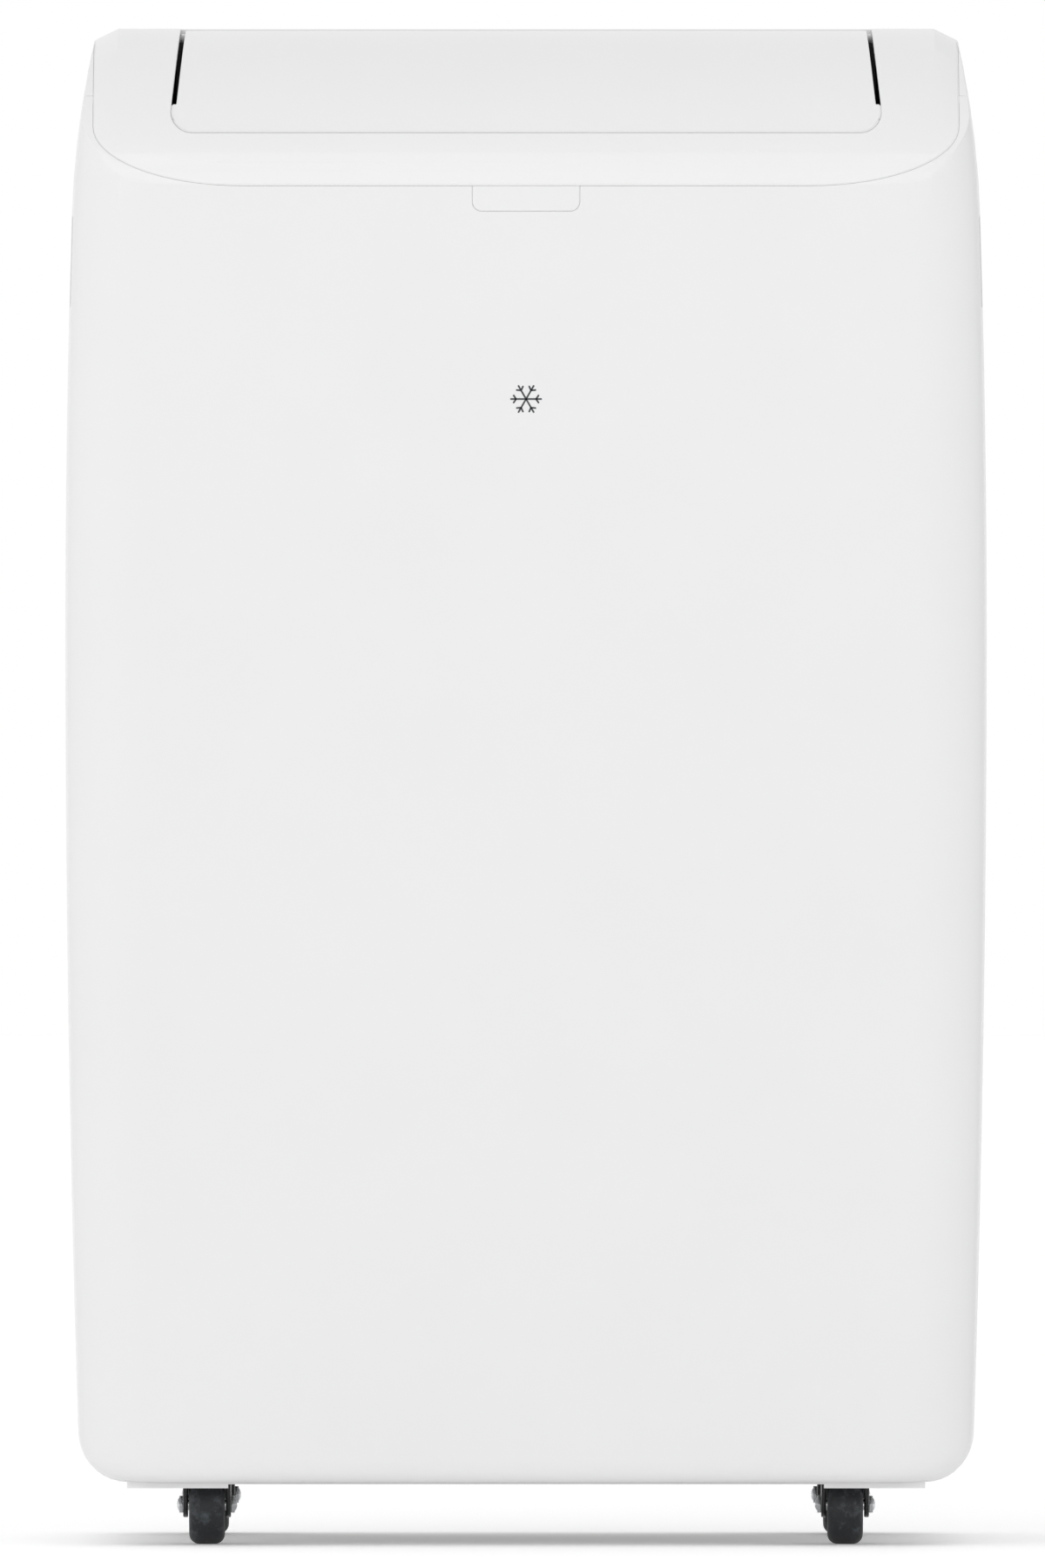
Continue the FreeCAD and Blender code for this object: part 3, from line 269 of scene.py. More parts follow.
def rolledMetal(name, colours, roughness, stretch, grain, depth=0.01, metallic=1.0, coat=0.0):
    # drawn, turned or brushed: fine lines run along the piece and break up the highlights
    shader = {"Metallic": metallic, "Coat Weight": coat}
    material, tree, spot, surface = startMaterial(name, shader)
    lines = addNode(tree, "Mapping", {"Scale": stretch}, {"Vector": spot})
    streak = addNode(tree, "TexNoise", {"Scale": 1 / mm(grain), "Detail": 4}, {"Vector": lines.outputs[0]})
    cloud = addNode(tree, "TexNoise", {"Scale": 1 / mm(30), "Detail": 4}, {"Vector": spot})
    tree.links.new(blendColour(tree, spread(tree, cloud.outputs["Fac"], 0, 1), *colours),
                   surface.inputs["Base Color"])
    tree.links.new(spread(tree, streak.outputs["Fac"], *roughness), surface.inputs["Roughness"])
    relief = {"Strength": 0.6, "Distance": mm(depth)}
    bump = addNode(tree, "Bump", relief, {"Height": streak.outputs["Fac"]})
    tree.links.new(bump.outputs["Normal"], surface.inputs["Normal"])
    return material


def spangledZinc(name, colours, cell):
    # hot-dip galvanised sheet: flat crystals of slightly different grey, some mm across
    material, tree, spot, surface = startMaterial(name, {"Metallic": 1.0})
    crystal = addNode(tree, "TexVoronoi", {"Scale": 1 / mm(cell)}, {"Vector": spot})
    tone = addNode(tree, "SeparateColor", None, {"Color": crystal.outputs["Color"]})
    tree.links.new(blendColour(tree, tone.outputs[0], *colours), surface.inputs["Base Color"])
    tree.links.new(spread(tree, tone.outputs[1], 0.32, 0.5, 0, 1), surface.inputs["Roughness"])
    return material


def waveScale(pitch):
    # the wave texture repeats once for each of these
    return math.pi / 10 / mm(pitch)


def finnedCoil(name):
    # stacked aluminium fins with dark gaps; the real 1.6 mm pitch is drawn at 2.4 mm so that it shows
    material, tree, spot, surface = startMaterial(name, {"Metallic": 0.9, "Roughness": 0.42})
    pitch = 2.4
    waves = {"wave_profile": "SIN", "Scale": waveScale(pitch), "Distortion": 0.4, "Detail": 1.0}
    fins = addNode(tree, "TexWave", waves, {"Vector": spot})
    edge = spread(tree, fins.outputs["Fac"], 0, 1, 0.25, 0.55)
    tree.links.new(blendColour(tree, edge, "3A3D40", "C9CDD0"), surface.inputs["Base Color"])
    bump = addNode(tree, "Bump", {"Strength": 1, "Distance": mm(0.8)}, {"Height": fins.outputs["Fac"]})
    tree.links.new(bump.outputs["Normal"], surface.inputs["Normal"])
    return material


def wovenNet(name):
    # nylon filter net: threads cross every 1.4 mm, with darker holes between them
    material, tree, spot, surface = startMaterial(name, {"Roughness": 0.75, "IOR": 1.53})
    heights = []
    for turn in ((0, 0, 0), (0, math.pi / 2, 0)):
        lines = addNode(tree, "Mapping", {"Rotation": turn}, {"Vector": spot})
        waves = {"Scale": waveScale(1.4), "Distortion": 0.15}
        thread = addNode(tree, "TexWave", waves, {"Vector": lines.outputs[0]})
        heights.append(thread.outputs["Fac"])
    cloth = addNode(tree, "Math", {"operation": "MAXIMUM"}, {0: heights[0], 1: heights[1]})
    threads = spread(tree, cloth.outputs[0], 0, 1, 0.55, 0.85)
    tree.links.new(blendColour(tree, threads, "101214", "3C4145"), surface.inputs["Base Color"])
    bump = addNode(tree, "Bump", {"Strength": 1, "Distance": mm(0.3)}, {"Height": cloth.outputs[0]})
    tree.links.new(bump.outputs["Normal"], surface.inputs["Normal"])
    return material


def rolledRubber(name, colours, scuff, roughness):
    # hard rubber that has rolled over floors: grey scuffs and dust over black
    material, tree, spot, surface = startMaterial(name, {"IOR": 1.52})
    patches = {"Scale": 1 / mm(9), "Detail": 8, "Roughness": 0.75}
    worn = addNode(tree, "TexNoise", patches, {"Vector": spot})
    fine = addNode(tree, "TexNoise", {"Scale": 1 / mm(1.1), "Detail": 3}, {"Vector": spot})
    base = blendColour(tree, spread(tree, fine.outputs["Fac"], 0, 1), *colours)
    mix = addNode(tree, "Mix", {"data_type": "RGBA", 7: hexColour(scuff)},
                  {0: spread(tree, worn.outputs["Fac"], 0, 0.6, 0.52, 0.74), 6: base})
    tree.links.new(mix.outputs[2], surface.inputs["Base Color"])
    tree.links.new(spread(tree, worn.outputs["Fac"], *roughness), surface.inputs["Roughness"])
    bump = addNode(tree, "Bump", {"Strength": 1, "Distance": mm(0.06)}, {"Height": fine.outputs["Fac"]})
    tree.links.new(bump.outputs["Normal"], surface.inputs["Normal"])
    return material


def circuitBoard(name):
    # glass-fibre board under green solder resist, with raised copper tracks beneath it
    material, tree, spot, surface = startMaterial(name, {"Roughness": 0.3, "IOR": 1.55})
    blocks = {
        "Scale": 1 / mm(9), "Color1": (0.9, 0.9, 0.9, 1), "Color2": (0.7, 0.7, 0.7, 1),
        "Mortar": (0, 0, 0, 1), "Mortar Size": 0.08,
    }
    tracks = addNode(tree, "TexBrick", blocks, {"Vector": spot})
    green = blendColour(tree, tracks.outputs["Fac"], "1E5A34", "3F8A4E")
    tree.links.new(green, surface.inputs["Base Color"])
    relief = {"Strength": 1, "Distance": mm(0.05)}
    bump = addNode(tree, "Bump", relief, {"Height": tracks.outputs["Fac"]})
    tree.links.new(bump.outputs["Normal"], surface.inputs["Normal"])
    return material


casingAbs = mouldedPlastic("casingWhiteAbs", ("E6E6E6", "E7E7E7"), (0.3, 0.31), 2.6, 0.001, 1.52)
windowAcrylic = mouldedPlastic("windowWhiteAcrylic", ("E6E6E7", "E8E8E9"), (0.14, 0.18), 2.2, 0.002, 1.49)
ductPp = mouldedPlastic("ductBlackPolypropylene", ("16171A", "1E2023"), (0.5, 0.62), 0.9, 0.02, 1.49)
innerPp = mouldedPlastic("innerWhitePolypropylene", ("C9CBCB", "D6D7D6"), (0.48, 0.6), 1.1, 0.02, 1.49)
fanPlastic = mouldedPlastic("fanGlassFilledAbs", ("26292D", "34383D"), (0.45, 0.58), 0.8, 0.03, 1.52)
buttonAbs = mouldedPlastic("buttonGreyAbs", ("B4B7BA", "BEC1C4"), (0.32, 0.4), 0.9, 0.01, 1.52)
forkEnamel = mouldedPlastic("forkBlackEnamel", ("08090A", "101113"), (0.22, 0.34), 2.5, 0.02, 1.5, 0.3)
compressorEnamel = mouldedPlastic(
    "compressorBlackEnamel", ("0A0B0C", "141517"), (0.2, 0.3), 3.0, 0.06, 1.5, 0.4
)
printInk = mouldedPlastic("printedGreyInk", ("3A3D40", "4A4D50"), (0.4, 0.5), 0.7, 0.004, 1.5)
boltChrome = rolledMetal("boltChrome", ("C8CACC", "DEE0E2"), (0.08, 0.18), (1, 4, 4), 3)
screwSteel = rolledMetal("screwZincSteel", ("9FA2A4", "B8BABC"), (0.3, 0.45), (1, 6, 1), 2)
copperTube = rolledMetal("drawnCopper", ("A8653F", "C98A62"), (0.24, 0.42), (1, 1, 0.15), 2)
motorSteel = spangledZinc("motorGalvanisedSteel", ("8E9193", "A8ABAD"), 7)
sheetZinc = spangledZinc("sheetGalvanisedSteel", ("9A9D9F", "B9BCBE"), 11)
coilFins = finnedCoil("finsAluminium")
filterNet = wovenNet("filterNylonNet")
tyreRubber = rolledRubber("tyreBlackRubber", ("121417", "1E2125"), "6B7278", (0.42, 0.62))
grommetRubber = rolledRubber("grommetRubber", ("101112", "1A1B1C"), "3A3B3C", (0.6, 0.8))
boardLaminate = circuitBoard("boardGreenLaminate")
# painted shade: near-black pieces that make the slots beside the flap read dark
slotShadeBlack = mouldedPlastic("slotPaintedShadeBlack", ("050506", "0B0B0C"), (0.85, 0.95), 1.2, 0.25, 1.4)
print("materials made")

skinPaint = bpy.data.materials.new("skinPaint")
cutPaint = bpy.data.materials.new("cutPaint")


def paint(piece, material):
    piece.data.materials.clear()
    piece.data.materials.append(material)
    return piece


def cutter(piece):
    return paint(piece, cutPaint)


def dropCutFaces(piece):
    # opens the shell again where a cutter closed it
    names = [slot.name if slot else "" for slot in piece.data.materials]
    openMesh(piece)
    pick(piece, "FACE", lambda p, face: names[face.material_index].startswith("cutPaint"))
    bpy.ops.mesh.delete(type="FACE")
    bpy.ops.mesh.select_all(action="SELECT")
    bpy.ops.mesh.remove_doubles(threshold=mm(0.01))
    closeMesh()
    return piece


def place(piece, material, body, replaced=()):
    # final material, body and the CAD nodes that the piece stands for
    paint(piece, material)
    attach(piece, body)
    if replaced:
        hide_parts(*replaced)
    return piece


# Cabinet envelope: a rounded plan, extruded upwards ring by ring.

cabinet = {
    "half": 231, "bow": 2.5, "front": -198.4, "back": 186.5, "low": 32, "top": 765,
    "belly": 460, "shoulder": 670, "footDrop": 7.2, "shoulderDrop": 3.2, "crownDrop": 14.5,
    "cornerAlong": 16, "cornerAcross": 34, "rearRound": 36, "footSide": 23, "footFront": 9,
    "arc": 93, "arcFront": -199.36, "rearArc": 26, "wall": 3, "split": -176.5, "seam": 0.4, "flankRows": 10,
    "footRings": (0, 0.35, 1.4, 3, 5.2, 9, 12, 16, 20, 23),
    "rings": (75, 96, 118, 140, 162, 206, 250, 306, 362, 411, 460, 495, 530, 565, 600, 635, 670,
              690, 710, 730, 750, 775),
}
arcBack = cabinet["arcFront"] + cabinet["arc"]  # the middle of the large round
arcLow = cabinet["top"] - cabinet["arc"]


def sideDrop(z):
    # how far the side stands inside the widest height
    c = cabinet
    if z <= c["belly"]:
        return c["footDrop"] * ((c["belly"] - z) / (c["belly"] - c["low"])) ** 2
    drop = c["shoulderDrop"] * ((z - c["belly"]) / (c["shoulder"] - c["belly"])) ** 2
    if z > c["shoulder"]:
        slope = 2 * c["shoulderDrop"] / (c["shoulder"] - c["belly"])
        left = c["top"] - c["shoulder"]
        rise = z - c["shoulder"]
        rest = c["crownDrop"] - c["shoulderDrop"] - slope * left
        drop = c["shoulderDrop"] + slope * rise + rest * (rise / left) ** 2
    return drop


def roundInset(radius, height):
    # inset of a quarter round at a height above its foot
    return radius - math.sqrt(max(radius ** 2 - (radius - height) ** 2, 0)) if height < radius else 0


def makeEnvelope():
    c = cabinet
    middle = (c["front"] + c["back"]) / 2
    halfDepth = (c["back"] - c["front"]) / 2
    bpy.ops.object.select_all(action="DESELECT")
    bpy.ops.mesh.primitive_plane_add(size=1, location=mm(0, middle, c["low"]))
    bpy.context.object.scale = mm(2 * c["half"], 2 * halfDepth, 1000)
    plan = named("envelope")
    openMesh(plan)
    pick(plan, "VERT", lambda p, v: p.y < 0)
    bpy.ops.mesh.bevel(offset=mm(c["cornerAlong"]), segments=18, affect="VERTICES")
    pick(plan, "VERT", lambda p, v: p.y > c["back"] - 1 and abs(p.x) > c["half"] - 1)
    bpy.ops.mesh.bevel(offset=mm(c["rearRound"]), segments=14, affect="VERTICES")
    for side in (-1, 1):  # the front corners are long ellipses
        pick(plan, "VERT", lambda p, v: p.y < 0 and side * p.x > c["half"] - c["cornerAlong"] - 0.01)
        bpy.ops.transform.resize(value=(c["cornerAcross"] / c["cornerAlong"], 1, 1),
                                 center_override=mm(side * c["half"], 0, 0))
    pick(plan, "EDGE", lambda p, e: abs(p.x) > c["half"] - 0.01 and e.calc_length() > 0.2)
    rows = c["flankRows"]
    bpy.ops.mesh.subdivide(number_cuts=rows - 1)
    flankLow = c["front"] + c["cornerAlong"]
    flankHigh = c["back"] - c["rearRound"]
    for row in range(1, rows):  # and the flanks bow out a little
        y = flankLow + (flankHigh - flankLow) * row / rows
        out = c["bow"] * (1 - (row / (rows / 2) - 1) ** 2)
        for side in (-1, 1):
            pick(plan, "VERT", lambda p, v: side * p.x > c["half"] - 0.01 and abs(p.y - y) < 0.1)
            bpy.ops.transform.translate(value=mm(side * out, 0, 0))
    heights = [c["low"] + above for above in c["footRings"]] + list(c["rings"])
    pick(plan, "FACE", lambda p, f: True)
    scaleX, scaleY, last = 1, 1, heights[0]
    for z in heights:
        above = z - c["low"]
        if z > last:
            bpy.ops.mesh.extrude_region_move(TRANSFORM_OT_translate={"value": mm(0, 0, z - last)})
        wide = (c["half"] - sideDrop(z) - roundInset(c["footSide"], above)) / c["half"]
        deep = (halfDepth - roundInset(c["footFront"], above)) / halfDepth
        factors = (wide / scaleX, deep / scaleY, 1)
        bpy.ops.transform.resize(value=factors, center_override=mm(0, middle, z))
        scaleX, scaleY, last = wide, deep, z
    bpy.ops.mesh.select_all(action="SELECT")
    bpy.ops.mesh.normals_make_consistent(inside=False)
    closeMesh()
    paint(plan, skinPaint)
    # the top front is one large round, the top rear a small one
    crown = addBlock("crown", (-300, c["arcFront"], -50), (300, c["back"] + 2, c["top"]))
    openMesh(crown)
    pick(crown, "EDGE", lambda p, e: p.z > c["top"] - 1 and p.y < c["arcFront"] + 1)
    bpy.ops.mesh.bevel(offset=mm(c["arc"]), segments=30, affect="EDGES")
    pick(crown, "EDGE", lambda p, e: p.z > c["top"] - 1 and p.y > c["back"] + 1)
    bpy.ops.mesh.bevel(offset=mm(c["rearArc"]), segments=10, affect="EDGES")
    closeMesh()
    paint(crown, skinPaint)
    return boolean(plan, crown, "INTERSECT")


envelope = makeEnvelope()
print("envelope made")

console = {
    "half": 217.6, "low": 684.6, "across": 75, "up": 32, "back": 129.5,
    "creaseHalf": 206, "creaseLow": 696.2, "creaseAcross": 62, "creaseUp": 24, "rimDrop": 5.7,
}


def consoleShape(name, half, low, across, up, back):
    # an upright U with elliptical lower corners, seen from the front
    block = addBlock(name, (-half, -beyond, low), (half, back, 800))
    openMesh(block)
    pick(block, "EDGE", lambda p, e: abs(p.z - low) < 0.1 and abs(p.x) > half - 1)
    bpy.ops.mesh.bevel(offset=mm(up), segments=16, affect="EDGES")
    for side in (-1, 1):
        pick(block, "VERT", lambda p, v: side * p.x > half - up - 0.01 and p.z < low + up + 0.01)
        bpy.ops.transform.resize(value=(across / up, 1, 1), center_override=mm(side * half, 0, 0))
    closeMesh()
    return cutter(block)


def grownConsole(name, gap):
    k = console
    size = (k["half"] + gap, k["low"] - gap, k["across"] + gap, k["up"] + gap, k["back"] + gap)
    return consoleShape(name, *size)


def lowerRim(piece, share):
    # the rim beside the console stands lower than the console, and fades out at its foot
    k = console
    openMesh(piece)
    mesh = bmesh.from_edit_mesh(piece.data)
    for vert in mesh.verts:
        z = vert.co.z * 1000
        if z > k["low"] + 0.01:
            drop = k["rimDrop"] * (z - k["low"]) / (cabinet["top"] - k["low"])
            vert.co.z -= mm(drop * share(vert.co * 1000))
    bmesh.update_edit_mesh(piece.data)
    closeMesh()


def rimShare(p):
    k = console
    return min(max((abs(p.x) - k["creaseHalf"]) / (k["half"] - k["creaseHalf"]), 0), 1)


def outsideCrease(p):
    k = console
    if abs(p.x) > k["creaseHalf"] + 1 or p.z < k["creaseLow"] - 1:
        return 1
    dx = abs(p.x) - (k["creaseHalf"] - k["creaseAcross"])
    dz = k["creaseLow"] + k["creaseUp"] - p.z
    if dx > 0 and dz > 0:
        return 1 if math.hypot(dx / k["creaseAcross"], dz / k["creaseUp"]) > 1.04 else 0
    return 0


floorHole = {"half": 201.3, "lip": 12, "front": -198.5}


def floorCutter():
    c = cabinet
    low = (-floorHole["half"], floorHole["front"] + floorHole["lip"], 0)
    high = (floorHole["half"], c["back"] - floorHole["lip"], 36)
    return cutter(addBlock("floorCutter", low, high))


# Front panel.

window = {"half": 26.75, "tall": 12.8, "corner": 4.5, "gap": 0.35, "thick": 3, "lipThick": 2.8}


def windowShape(name, grow, yLow, yHigh, top):
    foot = console["low"] - window["tall"]
    block = addBlock(name, (-window["half"] - grow, yLow, foot - grow), (window["half"] + grow, yHigh, top))
    openMesh(block)
    pick(block, "EDGE", lambda p, e: p.z < foot + 1 and abs(p.x) > window["half"] - 1)
    bpy.ops.mesh.bevel(offset=mm(window["corner"] + grow), segments=6, affect="EDGES")
    closeMesh()
    return block


def thicken(piece):
    modify(piece, "SOLIDIFY", thickness=mm(cabinet["wall"]), offset=-1, use_even_offset=True)


def keepBetween(piece, low, high):
    # keeps what lies between two stations along the depth
    openMesh(piece)
    if low is not None:
        bpy.ops.mesh.select_all(action="SELECT")
        bpy.ops.mesh.bisect(plane_co=mm(0, low, 0), plane_no=(0, -1, 0), clear_outer=True)
    if high is not None:
        bpy.ops.mesh.select_all(action="SELECT")
        bpy.ops.mesh.bisect(plane_co=mm(0, high, 0), plane_no=(0, 1, 0), clear_outer=True)
    closeMesh()


lip = {"sink": 0.22, "thick": 2.3, "reach": 3, "play": 0.06}  # the rebate that closes a seam from below


def thickenLip(piece):
    modify(piece, "DISPLACE", strength=-mm(lip["sink"]), mid_level=0)
    modify(piece, "SOLIDIFY", thickness=mm(lip["thick"]), offset=-1, use_even_offset=True)
    return piece


def makeSeamLip(name, station):
    # a band of the outside, from just before a seam to its far edge
    band = duplicate(envelope, name)
    boolean(band, grownConsole("room", cabinet["seam"]), "DIFFERENCE")
    boolean(band, floorCutter(), "DIFFERENCE")
    keepBetween(band, station - lip["reach"], station + cabinet["seam"] - lip["play"])
    dropCutFaces(band)
    lowerRim(band, rimShare)
    return thickenLip(band)


def makeFrontPanel():
    panel = duplicate(envelope, "frontPanel")
    boolean(panel, grownConsole("room", cabinet["seam"]), "DIFFERENCE")
    boolean(panel, cutter(windowShape("windowRoom", window["gap"], -230, -150, 700)), "DIFFERENCE")
    boolean(panel, floorCutter(), "DIFFERENCE")
    keepBetween(panel, None, cabinet["split"])
    dropCutFaces(panel)
    lowerRim(panel, lambda p: 1)
    thicken(panel)
    finishEdges(panel, 0.4)
    panel = join("frontPanel", [panel, makeSeamLip("sideLip", cabinet["split"])])
    return place(panel, casingAbs, "cabinet", ["front_panel"])


makeFrontPanel()


def makeDisplayWindow():
    front = cabinet["front"]
    pane = windowShape("displayWindow", 0, front, front + window["thick"], console["low"] - 0.4)
    finishEdges(pane, 0.3)
    edge = windowShape("windowLip", window["gap"] - lip["play"], front + lip["sink"],
                       front + window["lipThick"], console["low"] - 0.45)
    pane = join("displayWindow", [pane, edge])
    return place(pane, windowAcrylic, "cabinet", ["display_window"])


makeDisplayWindow()
print("front panel made")

# Top console with the louvre opening.

flap = {
    "low": 711, "halfTop": 174.4, "halfLow": 179, "corner": 11, "gap": 0.6, "slot": 2.5,
    "slotLow": 725.7, "radius": 92, "sink": 1, "thick": 3, "hingeY": -97.6, "hingeZ": 759.5, "nose": 4.5,
    "pin": 3, "pinHalf": 184, "above": 775, "notchTop": 790,
}


def flapShape(name, gap, back):
    # the louvre's outline from the front, narrower at the top
    f = flap
    low = (-f["halfLow"] + gap, -beyond, f["low"] + gap)
    block = addBlock(name, low, (f["halfLow"] - gap, back, f["above"]))
    openMesh(block)
    pick(block, "EDGE", lambda p, e: p.z < f["low"] + 2 and abs(p.x) > f["halfTop"])
    bpy.ops.mesh.bevel(offset=mm(f["corner"] - gap), segments=8, affect="EDGES")
    pick(block, "VERT", lambda p, v: p.z > f["above"] - 5)
    cornerTop = f["low"] + f["corner"]
    share = (f["above"] - cornerTop) / (cabinet["top"] - cornerTop)
    top = f["halfLow"] - (f["halfLow"] - f["halfTop"]) * share
    narrower = (top - gap) / (f["halfLow"] - gap)
    bpy.ops.transform.resize(value=(narrower, 1, 1), center_override=(0, 0, 0))
    closeMesh()
    return cutter(block)


panelPlace = {"half": 110, "near": -70, "far": -20, "corner": 5}


def panelShape(name, grow, low, high):
    half = panelPlace["half"] + grow
    near = panelPlace["near"] - grow
    far = panelPlace["far"] + grow
    block = addBlock(name, (-half, near, low), (half, far, high))
    openMesh(block)
    pick(block, "EDGE", lambda p, e: abs(p.x) > half - 2 and span(e, "z") > 2)
    bpy.ops.mesh.bevel(offset=mm(panelPlace["corner"]), segments=6, affect="EDGES")
    closeMesh()
    return block


def makeConsole():
    k = console
    outer = duplicate(envelope, "topConsole")
    boolean(outer, grownConsole("edge", 0), "INTERSECT")
    boolean(outer, flapShape("louvreRoom", 0, flap["hingeY"] + flap["nose"] + flap["gap"]), "DIFFERENCE")
    boolean(outer, cutter(panelShape("panelRoom", 0, 740, 790)), "DIFFERENCE")
    inner = duplicate(outer, "consoleFace")
    crease = (k["creaseHalf"], k["creaseLow"], k["creaseAcross"], k["creaseUp"], k["back"] + 20)
    boolean(inner, consoleShape("creaseIn", *crease), "INTERSECT")
    boolean(outer, consoleShape("creaseOut", *crease), "DIFFERENCE")
    dropCutFaces(inner)
    dropCutFaces(outer)
    skin = join("topConsole", [outer, inner])
    openMesh(skin)
    bpy.ops.mesh.select_all(action="SELECT")
    bpy.ops.mesh.remove_doubles(threshold=mm(0.02))
    closeMesh()
    lowerRim(skin, outsideCrease)
    thicken(skin)
    finishEdges(skin, 0.4, smooth=20)
    edge = duplicate(envelope, "consoleLip")
    boolean(edge, grownConsole("lipOut", cabinet["seam"] - lip["play"]), "INTERSECT")
    boolean(edge, grownConsole("lipIn", -lip["reach"]), "DIFFERENCE")
    dropCutFaces(edge)
    lowerRim(edge, lambda p: 1)
    skin = join("topConsole", [skin, thickenLip(edge)])
    return place(skin, casingAbs, "cabinet", ["top_console"])


makeConsole()


def flapSkin(name, gap):
    # the outside of the flap, a little under the console's round
    f = flap
    skin = addBlock(name, (-200, arcBack - f["radius"], 500), (200, 60, cabinet["top"] - f["sink"]))
    openMesh(skin)
    pick(skin, "EDGE", lambda p, e: p.z > 760 and p.y < arcBack - f["radius"] + 1)
    bpy.ops.mesh.bevel(offset=mm(f["radius"]), segments=30, affect="EDGES")
    closeMesh()
    paint(skin, skinPaint)
    return boolean(skin, flapShape("flapEdge", gap, f["hingeY"]), "INTERSECT")


def flapLip():
    # closes the seam round the lower part of the flap
    edge = flapSkin("flapLip", 0.12)
    boolean(edge, flapShape("flapInside", flap["gap"] + lip["reach"], 0), "DIFFERENCE")
    above = addBlock("above", (-300, -300, flap["slotLow"] - 0.6), (300, 300, 900))
    boolean(edge, cutter(above), "DIFFERENCE")
    dropCutFaces(edge)
    return thickenLip(edge)


def makeFlap():
    f = flap
    skin = flapSkin("louverFlap", f["gap"])
    for side in (-1, 1):  # the air slot beside the upper part of each end
        lean = (f["halfLow"] - f["halfTop"]) / (cabinet["top"] - f["low"] - f["corner"])
        foot = f["halfLow"] - lean * (f["slotLow"] - f["low"] - f["corner"]) - f["slot"]
        low, high = sorted((side * foot, side * 220))
        notch = addBlock("notch", (low, -beyond, f["slotLow"]), (high, 0, f["notchTop"]))
        openMesh(notch)
        pick(notch, "VERT", lambda p, v: abs(p.x) < 200 and p.z > 780)
        bpy.ops.transform.translate(value=mm(-side * lean * (f["notchTop"] - f["slotLow"]), 0, 0))
        closeMesh()
        boolean(skin, cutter(notch), "DIFFERENCE")
    dropCutFaces(skin)
    modify(skin, "SOLIDIFY", thickness=mm(f["thick"]), offset=-1, use_even_offset=True)
    endHalf = f["halfTop"] - f["slot"]
    barrel = addRod("barrel", f["nose"], -endHalf, endHalf, (0, f["hingeY"], f["hingeZ"]), "X", 32)
    pin = addRod("pin", f["pin"], -f["pinHalf"], f["pinHalf"], (0, f["hingeY"], f["hingeZ"]), "X", 24)
    skin = join("louverFlap", [skin, barrel, pin])
    finishEdges(skin, 0.5)
    skin = join("louverFlap", [skin, flapLip()])
    return place(skin, casingAbs, "flap", ["louver_flap"])


makeFlap()
print("console and flap made")

# Rear shell.

rear = {
    "grilleHalf": 165, "upper": (508, 700), "lower": (78, 292),
    "collar": (60, 390, 79), "spout": (-120, 488, 8.4), "plug": (0, 54.4, 8.4), "gland": (-150, 345, 8.6),
    "handle": (624, 670), "handleY": (-172, -62), "handleX": 206.5, "handleCorner": 9,
}


def handleShape(name, side, grow, xLow, xHigh):
    low, high = sorted((side * xLow, side * xHigh))
    block = addBlock(name, (low, rear["handleY"][0] - grow, rear["handle"][0] - grow),
                     (high, rear["handleY"][1] + grow, rear["handle"][1] + grow))
    openMesh(block)
    pick(block, "EDGE", lambda p, e: span(e, "x") > 2)
    bpy.ops.mesh.bevel(offset=mm(rear["handleCorner"] + grow), segments=6, affect="EDGES")
    closeMesh()
    return block


def makeSidePanel(side, name, node):
    c = cabinet
    panel = duplicate(envelope, name)
    boolean(panel, grownConsole("room", c["seam"]), "DIFFERENCE")
    boolean(panel, cutter(handleShape("grip", side, 0, rear["handleX"], 260)), "DIFFERENCE")
    boolean(panel, floorCutter(), "DIFFERENCE")
    keepBetween(panel, c["split"] + c["seam"], console["back"])
    dropCutFaces(panel)
    band = makeSeamLip("rearLip", console["back"])
    for piece in (panel, band):
        openMesh(piece)
        bpy.ops.mesh.select_all(action="SELECT")
        bpy.ops.mesh.bisect(plane_co=(0, 0, 0), plane_no=(-side, 0, 0), clear_outer=True)
        closeMesh()
    lowerRim(panel, rimShare)
    thicken(panel)
    finishEdges(panel, 0.4)
    panel = join(name, [panel, band])
    return place(panel, casingAbs, "cabinet", [node])


def makeRearShell():
    c = cabinet
    shell = duplicate(envelope, "rearShell")
    for low, high in (rear["upper"], rear["lower"]):
        opening = addBlock("opening", (-rear["grilleHalf"], 165, low), (rear["grilleHalf"], 220, high))
        boolean(shell, cutter(opening), "DIFFERENCE")
    for name in ("collar", "spout", "plug", "gland"):
        x, z, radius = rear[name]
        boolean(shell, cutter(addRod("hole", radius, 160, 230, (x, 0, z), "Y", 64)), "DIFFERENCE")
    boolean(shell, floorCutter(), "DIFFERENCE")
    keepBetween(shell, console["back"] + c["seam"], None)
    openMesh(shell)
    for x in (console["creaseHalf"], console["half"]):
        for side in (-1, 1):
            bpy.ops.mesh.select_all(action="SELECT")
            bpy.ops.mesh.bisect(plane_co=mm(side * x, 0, 0), plane_no=(1, 0, 0))
    closeMesh()
    dropCutFaces(shell)
    lowerRim(shell, rimShare)
    thicken(shell)
    finishEdges(shell, 0.4)
    return place(shell, casingAbs, "cabinet", ["rear_shell"])


makeSidePanel(1, "sidePanelRight", "side_panel_right")
makeSidePanel(-1, "sidePanelLeft", "side_panel_left")
makeRearShell()
bpy.data.objects.remove(envelope)
print("rear shell made")


